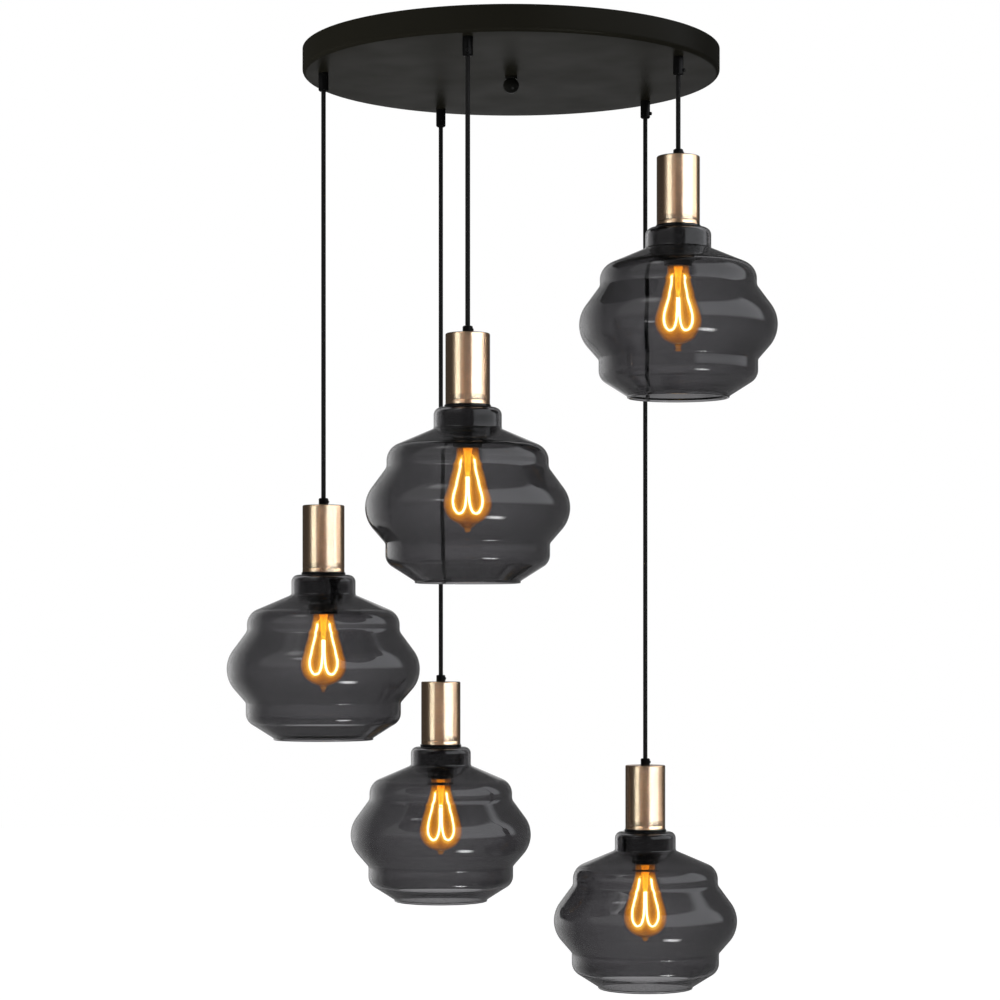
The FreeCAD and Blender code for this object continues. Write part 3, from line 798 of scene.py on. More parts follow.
def finishes() -> Dressing:
    """Builds every finish.

    Returns:
        The finishes, by the record's slots, and the stem's, with painted glow.
    """
    kinds = {
        Slot.CANOPY: Coating("satin_black_coat", (0.0120, 0.0112, 0.0078), 0.42, 0.06),
        Slot.BRACKET: LathedMetal("zinc_plate", (0.62, 0.63, 0.65), 0.34),
        Slot.STEEL: LathedMetal("plain_steel", (0.50, 0.50, 0.51), 0.28),
        Slot.BALL: Coating("ball_black_coat", (0.006, 0.006, 0.005), 0.3, 0.25),
        Slot.GRIP: MouldedPlastic("grip_black", (0.004, 0.004, 0.004), 0.34, 0.15),
        Slot.SCREW: Coating("screw_black_oxide", (0.008, 0.008, 0.008), 0.32, 0.3),
        Slot.BOX: MouldedPlastic("box_white", (0.70, 0.69, 0.66), 0.45, 0.4),
        Slot.CORD: BraidedSleeve("woven_black_cord", (0.009, 0.009, 0.009)),
        Slot.SLEEVE: LathedMetal("brushed_brass", (0.86, 0.60, 0.40), 0.27, 0.7, fine=True),
        Slot.RING: MouldedPlastic("glossy_black", (0.006, 0.006, 0.006), 0.08, 0.5),
        Slot.HOLDER: MouldedPlastic("holder_black", (0.005, 0.005, 0.005), 0.32, 0.2),
        Slot.SHADE: BlownGlass("smoke_glass", (0.255, 0.252, 0.26), 0.05, 0.06),
        # painted glow colours on the amber bulb glass, along its glow map
        Slot.BULB: GlowingBulbGlass("amber_glass", (0.98, 0.78, 0.42), (
            (0.01, (0.0, 0.0, 0.0)), (0.10, (0.10, 0.022, 0.002)), (0.26, (0.26, 0.075, 0.004)),
            (0.51, (0.42, 0.165, 0.008)), (0.78, (0.95, 0.5, 0.05)), (1.0, (1.0, 0.8, 0.2))), 1.3),
        Slot.CAP: LathedMetal("cap_brass", (0.72, 0.60, 0.36), 0.25),
        Slot.FILAMENT: GlowingWire("filament_glow", (1.0, 0.96, 0.90), 15.0),
    }
    # painted glow on the glass stem: emission standing in for the filament's light
    stem = GlowingBulbGlass("painted_glow_stem", (0.98, 0.8, 0.5), (
        (0.0, (0.3, 0.08, 0.0)), (0.3, (0.9, 0.34, 0.02)), (1.0, (1.0, 0.66, 0.1))), 3.0)
    return Dressing({slot: kind.material() for slot, kind in kinds.items()}, stem.material())


# ---------------------------------------------------------------- sub-assemblies


@dataclass
class Assembly:
    """What every sub-assembly shares: its finishes, and how a piece joins the frame."""

    dressing: Dressing

    def place(self, name: str, surface: Surface, slot: Slot, body: str,
              node: str | None) -> bpy.types.Object:
        """Makes a piece, seats it on its body and lets it stand for its node.

        Args:
            name: the piece's name.
            surface: its surface in millimetres, in the frame's own axes.
            slot: its finish.
            body: the body that it moves with.
            node: the node that it replaces, if any.

        Returns:
            The new object.
        """
        piece = new_piece(name, surface, self.dressing.by_slot[slot])
        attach(piece, body)
        if node:
            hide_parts(node)
        log.info("%s: %d faces", name, len(piece.data.polygons))
        return piece

    def dress(self, node: str, slot: Slot) -> None:
        """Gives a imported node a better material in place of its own.

        Args:
            node: the node.
            slot: its finish.
        """
        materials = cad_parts[node].data.materials
        materials.clear()
        materials.append(self.dressing.by_slot[slot])
        log.info("%s: dressed as %s", node, slot.value)


def centre_of(node: str) -> np.ndarray:
    """The middle of a node's box, in millimetres."""
    low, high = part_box(node)
    return (np.array(low) + np.array(high)) / 2 / MM


def height_of(node: str, top: bool) -> float:
    """The height of a node's upper or lower end, in millimetres."""
    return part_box(node)[1 if top else 0][2] / MM


@dataclass
class Canopy(Assembly):
    """The pan against the ceiling and all that is fixed to it. Heights count from the ceiling.

    The azimuths say which way the side screw of each pendant's grip faces, in degrees.
    """

    radius: float = 250.0
    height: float = 30.0
    wall: float = 1.5
    edge_round: float = 5.0
    rim_round: float = 0.6
    nipple_hole: float = 5.2
    stud_hole: float = 3.4
    ball_radius: float = 9.5
    ball_drop: float = 10.5
    collar_radius: float = 7.5
    collar_height: float = 3.0
    grip_radius: float = 6.0
    grip_length: float = 22.0
    grip_chamfer: float = 1.5
    grip_bore: float = 3.0
    nipple_radius: float = 4.95
    nipple_length: float = 9.0
    shank_radius: float = 1.45
    screw_radius: float = 2.2
    screw_length: float = 2.4
    screw_rise: float = 6.0
    slit_width: float = 0.7
    slit_depth: float = 0.8
    slit_reach: float = 3.0
    stud_radius: float = 3.0
    thread_depth: float = 0.55
    thread_pitch: float = 1.0
    azimuths: tuple[float, ...] = (-15.0, -90.0, 100.0, 90.0, -15.0)

    def __post_init__(self) -> None:
        """Works out the canopy's underside and where each cord leaves it, in millimetres."""
        self.under = -self.height
        self.grip_end = self.under - self.grip_length
        self.spots = [centre_of(f"cord_{n}") * (1, 1, 0) for n in PENDANT_NUMBERS]

    def pan(self) -> None:
        """The pressed pan: floor, rounded edge and upright rim, drilled for cords and stud."""
        floor, inner = self.under + self.wall, self.radius - self.wall
        section = outline([
            (0.0, self.under, 0.0),
            (self.radius, self.under, self.edge_round),
            (self.radius, 0.0, self.rim_round),
            (inner, 0.0, self.rim_round),
            (inner, floor, self.edge_round - self.wall),
            (0.0, floor, 0.0),
        ], run=30.0)
        piece = self.place("canopy_pan", revolved(section, False, 256), Slot.CANOPY, "canopy",
                           "canopy")
        low, high = self.under - self.wall, floor + self.wall
        hole = outline([(0.0, low, 0.0), (self.nipple_hole, low, 0.0),
                        (self.nipple_hole, high, 0.0), (0.0, high, 0.0)])
        drill = revolved(hole, False, 32)
        middle = drill.turned(np.diag([self.stud_hole / self.nipple_hole] * 2 + [1.0]))
        cut(piece, joined([drill.moved(spot) for spot in self.spots] + [middle]))

    def ball(self) -> None:
        """The ball nut: a collar on the canopy, a narrow neck and a ball."""
        middle, collar_end = self.under - self.ball_drop, self.under - self.collar_height
        start = math.asin((self.ball_drop - self.collar_height) / self.ball_radius)
        angles = np.linspace(start, -math.pi / 2, 28)
        ball = np.stack([self.ball_radius * np.cos(angles),
                         middle + self.ball_radius * np.sin(angles)], axis=1)
        collar = outline([(0.0, self.under, 0.0), (self.collar_radius, self.under, 0.4),
                          (self.collar_radius, collar_end, 0.4),
                          (self.ball_radius * math.cos(start), collar_end, 0.0)])
        self.place("ball_nut_body", revolved(np.vstack([collar, ball[1:]]), False, 64), Slot.BALL,
                   "ball_nut", "ball_nut")

    def grips(self) -> None:
        """The five cord grips: body, shoulder under the canopy and hollow threaded nipple."""
        nipple_top = self.under + self.nipple_length
        section = closed_outline([
            (self.grip_bore, nipple_top, 0.0),
            (self.grip_bore, self.grip_end, 0.0),
            (self.grip_radius - self.grip_chamfer, self.grip_end, 0.5),
            (self.grip_radius, self.grip_end + self.grip_chamfer, 0.8),
            (self.grip_radius, self.under, 0.4),
            (self.nipple_radius, self.under, 0.0),
            (self.nipple_radius, nipple_top, 0.4),
        ])
        grip = revolved(section, True, 48)
        self.place("cord_grip_bodies", joined([grip.moved(spot) for spot in self.spots]),
                   Slot.GRIP, "canopy", "cord_grips")

    def screws(self) -> None:
        """The five side screws: a domed head with a slot, and a shank that presses the cord."""
        reach, end = self.grip_radius, self.grip_radius + self.screw_length
        head = revolved(outline([
            (0.0, self.grip_bore, 0.0),
            (self.shank_radius, self.grip_bore, 0.2),
            (self.shank_radius, reach, 0.0),
            (self.screw_radius, reach, 0.2),
            (self.screw_radius, end, 1.0),
            (0.0, end, 0.0),
        ]), False, 32)
        low, high = end - self.slit_depth, end + 2 * self.slit_depth
        blade = outline([(0.0, low, 0.0), (self.slit_reach, low, 0.0),
                         (self.slit_reach, high, 0.0), (0.0, high, 0.0)])
        thin = np.diag([1.0, self.slit_width / self.slit_reach / 2, 1.0])
        slit = revolved(blade, False, 16).turned(thin)
        level = np.array([0.0, 0.0, self.grip_end + self.screw_rise])
        heads, slits = (
            joined([part.turned(facing(azimuth)).moved(spot + level)
                    for azimuth, spot in zip(self.azimuths, self.spots)]) for part in (head, slit))
        cut(self.place("grip_side_screws", heads, Slot.SCREW, "canopy", "grip_screws"), slits)

    def stud(self) -> None:
        """The threaded stud through the bracket and the canopy."""
        low, high = height_of("centre_stud", False), height_of("centre_stud", True)
        rod = threaded(self.stud_radius, self.thread_depth, self.thread_pitch, low, high)
        self.place("threaded_stud", rod, Slot.STEEL, "canopy", "centre_stud")

    def build(self) -> None:
        """Builds the canopy's own pieces and dresses those that keep their shape."""
        for make in (self.pan, self.ball, self.grips, self.screws, self.stud):
            make()
        for node, slot in {"ceiling_bracket": Slot.BRACKET, "stud_nuts": Slot.STEEL,
                           "terminal_box": Slot.BOX, "cord_tails": Slot.CORD,
                           "grip_nuts": Slot.STEEL}.items():
            self.dress(node, slot)


@dataclass
class HungCord(Assembly):
    """One straight cord, from the canopy's grip down to the sleeve's grip."""

    number: int
    diameter: float = 5.5
    sides: int = 20
    steps: int = 32
    closing: float = 1e-4

    def route(self) -> np.ndarray:
        """The cord's centreline, read from a smooth spline.

        Returns:
            Points (n, 3) from the top down, in metres.
        """
        name = f"cord_{self.number}"
        x, y, _ = centre_of(name) * MM
        bottom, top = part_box(name)[0][2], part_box(name)[1][2]
        line = bpy.data.curves.new(f"cord_route_{self.number}", "CURVE")
        line.dimensions = "3D"
        spline = line.splines.new("NURBS")
        spline.points.add(2)
        heights = (top, (top + bottom) / 2, bottom)
        spline.points.foreach_set("co", [c for z in heights for c in (x, y, z, 1.0)])
        spline.order_u = 3
        spline.use_endpoint_u = True
        line.resolution_u = self.steps
        carrier = bpy.data.objects.new(line.name, line)
        mesh = bpy.data.meshes.new_from_object(carrier)
        points = points_of(mesh).astype(float)
        bpy.data.objects.remove(carrier)
        bpy.data.meshes.remove(mesh)
        return points

    def build(self) -> None:
        """Makes the cord as a tube along its route, with a mesh of its own."""
        name = f"cord_{self.number}"
        route = self.route()
        path = np.vstack([route[:1], route, route[-1:]]) / MM
        path[0, 2] += self.closing
        path[-1, 2] -= self.closing
        radii = np.concatenate([[0.0], np.full(len(route), self.diameter / 2), [0.0]])
        piece = self.place(f"hung_cord_{self.number}", swept(path, radii, self.sides), Slot.CORD,
                           name, name)
        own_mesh(piece)


@dataclass
class Lamp(Assembly):
    """One lamp. Heights count from its sleeve's top, and radii from its own axis.

    The loop's spots and the lead's are (radius, depth below the cap), and the shade's corners
    are (radius, depth below the glass's flat top, round).
    """

    number: int
    sleeve_radius: float = 25.0
    sleeve_length: float = 80.0
    sleeve_wall: float = 1.2
    sleeve_top: float = 2.0
    sleeve_edge: float = 1.6
    line_rise: float = 4.5
    line_depth: float = 0.3
    line_half: float = 0.5
    nipple_radius: float = 4.95
    nipple_length: float = 10.0
    nipple_hole: float = 5.2
    cord_bore: float = 3.0
    grip_radius: float = 5.75
    grip_height: float = 8.5
    grip_screw_radius: float = 1.6
    grip_screw_rise: float = 4.0
    grip_screw_azimuth: float = -15.0
    flange_radius: float = 26.2
    flange_height: float = 3.0
    spigot_height: float = 3.0
    spigot_gap: float = 0.2
    holder_cap: tuple[float, float] = (14.0, 12.0)
    holder_body: float = 19.0
    holder_skirt: float = 20.0
    holder_lip: tuple[float, float] = (16.5, 9.0)
    skirt_gap: float = 0.3
    skirt_below_ring: float = 2.0
    ring_radius: float = 29.5
    ring_height: float = 27.7
    ring_round: float = 7.0
    glass_wall: float = 3.0
    socket_radius: float = 13.55
    socket_depth: float = 28.0
    bulb_length: float = 96.0
    bulb_wall: float = 1.0
    cap_radius: float = 13.25
    cap_height: float = 27.0
    cap_floor: float = 17.0
    cap_below_holder: float = 1.0
    cap_thread_depth: float = 1.0
    cap_thread_pitch: float = 3.6
    insulator_radius: float = 10.5
    insulator_height: float = 3.0
    contact_radius: float = 4.0
    contact_height: float = 0.6
    stem_radius: float = 3.4
    stem_length: float = 34.0
    wire_radius: float = 1.2
    lead_radius: float = 0.45
    glow_reach: float = 6.0
    stem_reach: float = 9.0
    # share of the painted glint round the sealed tip
    painted_tip_glint: float = 0.45
    tip_reach: float = 4.0
    loop_spots: tuple[tuple[float, float], ...] = (
        (7.2, 14.5), (8.4, 25.0), (11.2, 37.0), (14.2, 48.0), (16.4, 58.0), (16.2, 67.0),
        (13.2, 74.3), (9.3, 76.6), (5.2, 74.0), (2.6, 66.0), (1.5, 56.0), (1.2, 45.0), (1.2, 34.5),
    )
    lead_spots: tuple[tuple[float, float], ...] = (
        (2.4, 8.0), (4.4, 10.0), (6.4, 12.0), (7.2, 15.0))
    shade_corners: tuple[Corner, ...] = (
        (21.5, 0.0, 0.0), (38.25, 0.0, 8.5), (38.25, 23.9, 3.0), (91.0, 46.6, 20.0),
        (91.0, 67.3, 10.0), (125.5, 114.3, 37.7), (92.4, 152.6, 5.0), (92.4, 174.0, 16.0),
        (59.5, 194.9, 0.6), (59.5, 197.3, 0.0),
    )

    def __post_init__(self) -> None:
        """Reads the lamp's place from its sleeve and works out the heights that follow."""
        self.datum = centre_of(f"sleeve_{self.number}")
        self.datum[2] = height_of(f"sleeve_{self.number}", True)
        self.glass_top = -self.sleeve_length - self.flange_height
        self.ring_top = self.glass_top - self.glass_wall - self.skirt_gap
        self.ring_bottom = self.ring_top - self.ring_height
        self.skirt_bottom = self.ring_bottom - self.skirt_below_ring
        self.holder_bottom = self.skirt_bottom - self.holder_lip[1]
        self.cap_bottom = self.holder_bottom - self.cap_below_holder
        self.skirt_bore = self.holder_skirt + self.skirt_gap

    def seat(self, name: str, surface: Surface, slot: Slot, body: str,
             node: str | None) -> bpy.types.Object:
        """Places a piece of this lamp; its name, its body and its node get the lamp's number.

        Args:
            name: the piece's name.
            surface: its surface, from the lamp's own datum.
            slot: its finish.
            body: the body that it moves with.
            node: the node that it replaces, if any.

        Returns:
            The new object.
        """
        number = f"_{self.number}"
        return self.place(name + number, surface.moved(self.datum), slot, body + number,
                          node and node + number)

    def turn(self, name: str, corners: Sequence[Corner], slot: Slot, body: str,
             poles: bool = False, sides: int = 96) -> bpy.types.Object:
        """Turns a section into a piece of this lamp that replaces the node of the same name.

        Args:
            name: the node's name without its number.
            corners: the section's corners.
            slot: its finish.
            body: the body's name without its number.
            poles: whether the section starts and ends on the axis.
            sides: points round the piece.

        Returns:
            The new object.
        """
        section = outline(corners) if poles else closed_outline(corners)
        return self.seat(name + "_body", revolved(section, not poles, sides), slot, body, name)

    def sleeve(self) -> None:
        """The brass cup, with a shallow turned line near its lower edge."""
        radius, inner = self.sleeve_radius, self.sleeve_radius - self.sleeve_wall
        end, line = -self.sleeve_length, self.line_rise - self.sleeve_length
        piece = self.turn("sleeve", [
            (self.nipple_hole, -self.sleeve_top, 0.0),
            (self.nipple_hole, 0.0, 0.3),
            (radius, 0.0, self.sleeve_edge),
            (radius, line + self.line_half, 0.0),
            (radius - self.line_depth, line, 0.0),
            (radius, line - self.line_half, 0.0),
            (radius, end, 0.3),
            (inner, end, 0.3),
            (inner, -self.sleeve_top, 1.0),
        ], Slot.SLEEVE, "lamp", sides=160)
        piece.visible_glossy = False

    def sleeve_grip(self) -> None:
        """The grip on the sleeve, with its nipple and the small screw in its side."""
        radius, top, end = self.grip_radius, self.grip_height, -self.nipple_length
        section = closed_outline([
            (self.cord_bore, end, 0.0),
            (self.nipple_radius, end, 0.3),
            (self.nipple_radius, 0.0, 0.0),
            (radius, 0.0, 0.3),
            (radius, top - 1.0, 0.5),
            (radius - 1.0, top, 0.3),
            (self.cord_bore, top, 0.0),
        ])
        head = outline([(0.0, radius - 1.0, 0.0), (self.grip_screw_radius, radius - 1.0, 0.0),
                        (self.grip_screw_radius, radius + 1.0, 0.5), (0.0, radius + 1.0, 0.0)])
        screw = revolved(head, False, 24).turned(facing(self.grip_screw_azimuth))
        both = joined([revolved(section, True, 48), screw.moved((0.0, 0.0, self.grip_screw_rise))])
        self.seat("sleeve_grip_body", both, Slot.GRIP, "lamp", "sleeve_grip")

    def flange(self) -> None:
        """The black ring that the sleeve stands on."""
        spigot = self.sleeve_radius - self.sleeve_wall - self.spigot_gap
        seat, top = -self.sleeve_length, self.spigot_height - self.sleeve_length
        self.turn("flange_ring", [
            (self.skirt_bore, self.glass_top, 0.0),
            (self.flange_radius, self.glass_top, 0.8),
            (self.flange_radius, seat, 0.8),
            (spigot, seat, 0.0),
            (spigot, top, 0.3),
            (self.skirt_bore, top, 0.0),
        ], Slot.RING, "lamp")

    def retaining_ring(self) -> None:
        """The deep black ring inside the neck, with a bowl-shaped lower edge."""
        self.turn("retaining_ring", [
            (self.skirt_bore, self.ring_bottom, 0.0),
            (self.ring_radius, self.ring_bottom, self.ring_round),
            (self.ring_radius, self.ring_top, 1.0),
            (self.skirt_bore, self.ring_top, 0.0),
        ], Slot.RING, "ring")

    def lampholder(self) -> None:
        """The moulded holder: cap, body, skirt, rounded lip and the open socket."""
        socket_top = self.holder_bottom + self.socket_depth
        cap, cap_height = self.holder_cap
        nipple, shoulder = -self.nipple_length - 1.0, self.spigot_height - self.sleeve_length
        lip = self.holder_lip[0]
        self.turn("lampholder", [
            (0.0, nipple, 0.0),
            (5.0, nipple, 0.0),
            (5.0, -self.sleeve_top, 0.0),
            (cap, -self.sleeve_top, 0.8),
            (self.holder_body, -self.sleeve_top - cap_height, 2.0),
            (self.holder_body, shoulder, 0.0),
            (self.holder_skirt, shoulder, 0.0),
            (self.holder_skirt, self.skirt_bottom, 0.8),
            (lip, self.skirt_bottom, 0.0),
            (lip, self.holder_bottom, 2.0),
            (self.socket_radius, self.holder_bottom, 0.5),
            (self.socket_radius, socket_top, 0.0),
            (0.0, socket_top, 0.0),
        ], Slot.HOLDER, "lamp", poles=True)

    def shade(self) -> None:
        """The blown glass: one even wall in four tiers, with a melted edge at the mouth."""
        outside = [(r, self.glass_top - z, bend) for r, z, bend in self.shade_corners]
        inside = inward(outside, self.glass_wall)
        mouth = [(*outside[-1][:2], 1.2), (*inside[-1][:2], 1.2)]
        hole = [(*inside[0][:2], 1.0), (*outside[0][:2], 1.0)]
        start = ((outside[0][0] + inside[0][0]) / 2 + 2.0, outside[0][1], 0.0)
        corners = [start] + outside[1:-1] + mouth + inside[-2:0:-1] + hole
        section = closed_outline(corners, turn=4.0, run=5.0)
        self.seat("shade_body", revolved(section, True, 192), Slot.SHADE, "lamp", "shade")

    def bulb_base(self) -> None:
        """The screw cap: a rolled thread, the insulator's cone and the centre contact."""
        top = self.cap_bottom + self.cap_height
        rim, contact = top - self.insulator_height, top - self.contact_height
        shell = threaded(self.cap_radius, self.cap_thread_depth, self.cap_thread_pitch,
                         self.cap_bottom, rim, 64)
        cone = revolved(outline([
            (0.0, rim - 0.2, 0.0),
            (self.insulator_radius, rim, 0.0),
            (self.contact_radius, contact, 0.0),
            (self.contact_radius - 0.4, top, 0.4),
            (0.0, top, 0.0),
        ]), False, 48)
        self.seat("bulb_cap", joined([shell, cone]), Slot.CAP, "bulb", "bulb_base")

    def bulb_glass(self) -> None:
        """The pear-shaped glass, closed by the sealed-off tip."""
        neck, tip = self.cap_radius - 0.7, self.cap_bottom - self.bulb_length
        outside = [
            (neck, self.cap_bottom - 0.2, 0.0),
            (neck, self.cap_bottom - 12.0, 60.0),
            (32.8, tip + 16.5, 26.0),
            (4.2, tip + 4.7, 2.0),
            (2.6, tip, 2.2),
            (0.0, tip, 0.0),
        ]
        inside = inward(outside[:4], self.bulb_wall)
        floor = (0.0, inside[-1][1], 0.0)
        section = np.vstack([outline(outside[::-1]), outline(inside[:-1] + [floor])])
        piece = self.seat("bulb_glass_body", revolved(section, False, 96), Slot.BULB, "bulb",
                          "bulb_glass")
        # painted glow: the bulb glass's emission follows this map
        self.paint_glow(piece, self.glow_reach)

    def paint_glow(self, piece: bpy.types.Object, reach: float) -> None:
        """Writes the map "glow", 1 where a point is in front of a loop and less to the sides.

        The distance d is taken square to the loops' plane, so that it is the way from a point's
        projection on that plane to the nearest point of a loop, and glow = exp(-d / reach). Round
        the sealed tip, t away, it is at least painted tip glint * exp(-t / tip reach). The map sets
        painted
        light: a painted glow on the glass near the loops and a painted glint round the tip.

        Args:
            piece: the glowing piece.
            reach: how far the glow goes to the side, in millimetres.
        """
        flat = (points_of(piece.data) / MM - self.datum)[:, [0, 2]]
        wire = np.vstack([self.hung(self.loop_spots, side)[:, [0, 2]] for side in (-1, 1)])
        apart = np.linalg.norm(flat[:, None] - wire[None], axis=2).min(axis=1)
        tip = np.array([0.0, self.cap_bottom - self.bulb_length + 2.0])
        to_tip = np.linalg.norm(flat - tip, axis=1)
        # painted glow along the loops, and a painted glint round the sealed tip
        glow = np.maximum(np.exp(-apart / reach), self.painted_tip_glint * np.exp(-to_tip / self.tip_reach))
        layer = piece.data.attributes.new("glow", "FLOAT", "POINT")
        layer.data.foreach_set("value", glow.astype(np.float32))

    def hung(self, spots: Sequence[tuple[float, float]], side: int) -> np.ndarray:
        """A smooth line through spots below the cap.

        Args:
            spots: radius and depth of each.
            side: -1 for the left line, 1 for the right one.

        Returns:
            Points (n, 3) in millimetres.
        """
        return smooth_line(np.array(spots) * (side, -1.0) + (0.0, self.cap_bottom))

    def wires(self, spots: Sequence[tuple[float, float]], radius: float) -> list[Surface]:
        """The left and the right round wire along a line below the cap.

        Args:
            spots: radius and depth of each of the line's spots.
            radius: the wire's radius.

        Returns:
            The two wires.
        """
        paths = [self.hung(spots, side) for side in (-1, 1)]
        radii = np.full(len(paths[0]), radius)
        radii[[0, -1]] = 0.0
        return [swept(path, radii, 12) for path in paths]

    def filament(self) -> None:
        """The two glowing loops."""
        self.seat("filament_loops", joined(self.wires(self.loop_spots, self.wire_radius)),
                  Slot.FILAMENT, "bulb", "bulb_filament")

    def stem(self) -> None:
        """The glass stem that flares to the cap, and the two lead wires."""
        low, floor = self.cap_bottom - self.stem_length, self.cap_bottom + self.cap_floor
        post = revolved(outline([
            (0.0, floor, 0.0),
            (8.0, floor, 0.5),
            (self.stem_radius, self.cap_bottom - 14.0, 6.0),
            (self.stem_radius, low + 6.0, 1.6),
            (1.8, low, 1.0),
            (0.0, low, 0.0),
        ]), False, 32)
        leads = self.wires(self.lead_spots, self.lead_radius)
        piece = self.seat("bulb_stem", joined([post] + leads), Slot.BULB, "bulb", None)
        piece.data.materials[0] = self.dressing.painted_glow_stem
        # painted glow on the stem and its leads
        self.paint_glow(piece, self.stem_reach)

    def build(self) -> None:
        """Builds the lamp from the grip down to the bulb."""
        for make in (self.sleeve_grip, self.sleeve, self.flange, self.retaining_ring,
                     self.lampholder, self.shade, self.bulb_base, self.bulb_glass,
                     self.filament, self.stem):
            make()


# ---------------------------------------------------------------- studio


def smooth_step(value: np.ndarray, edge: float) -> np.ndarray:
    """Climbs from 0 to 1 over an edge centred on 0, as t^2 (3 - 2t) for its share t."""
    t = np.clip(value / edge + 0.5, 0, 1)
    return t * t * (3 - 2 * t)


@dataclass(frozen=True)
class SoftWindow:
    """A soft-edged patch of light on the reflector dome.

    Azimuths count from the viewer's side towards +X, elevations from the horizon, in degrees.
    """

    azimuth: tuple[float, float]
    elevation: tuple[float, float]
    level: float
    edge: tuple[float, float]
    colour: Colour = WHITE

    def share(self, azimuth: np.ndarray, elevation: np.ndarray) -> np.ndarray:
        """How much of the patch covers each direction: a product of three smooth steps.

        Args:
            azimuth: the directions' azimuths.
            elevation: the directions' elevations.

        Returns:
            A share from 0 to 1 for each direction.
        """
        (left, right), (low, high) = self.azimuth, self.elevation
        turn = (azimuth - (left + right) / 2 + 180) % 360 - 180
        wide = smooth_step((right - left) / 2 - np.abs(turn), self.edge[0])
        return (wide * smooth_step(elevation - low, self.edge[1])
                * smooth_step(high - elevation, self.edge[1]))


@dataclass(frozen=True)
class SoftLamp:
    """A square lamp: where it stands, the point that it faces, its side and its watts."""

    name: str
    place: Corner
    aim: Corner
    size: float
    power: float


@dataclass(frozen=True)
class LinkedBox:
    """An upright soft box that only one kind of piece shows and that nothing else shades.

    A gridded box fades from its middle to its edges.
    """

    name: str
    azimuth: tuple[float, float]
    rise: float
    level: float
    piece: str
    colour: Colour = WHITE
    gridded: bool = False


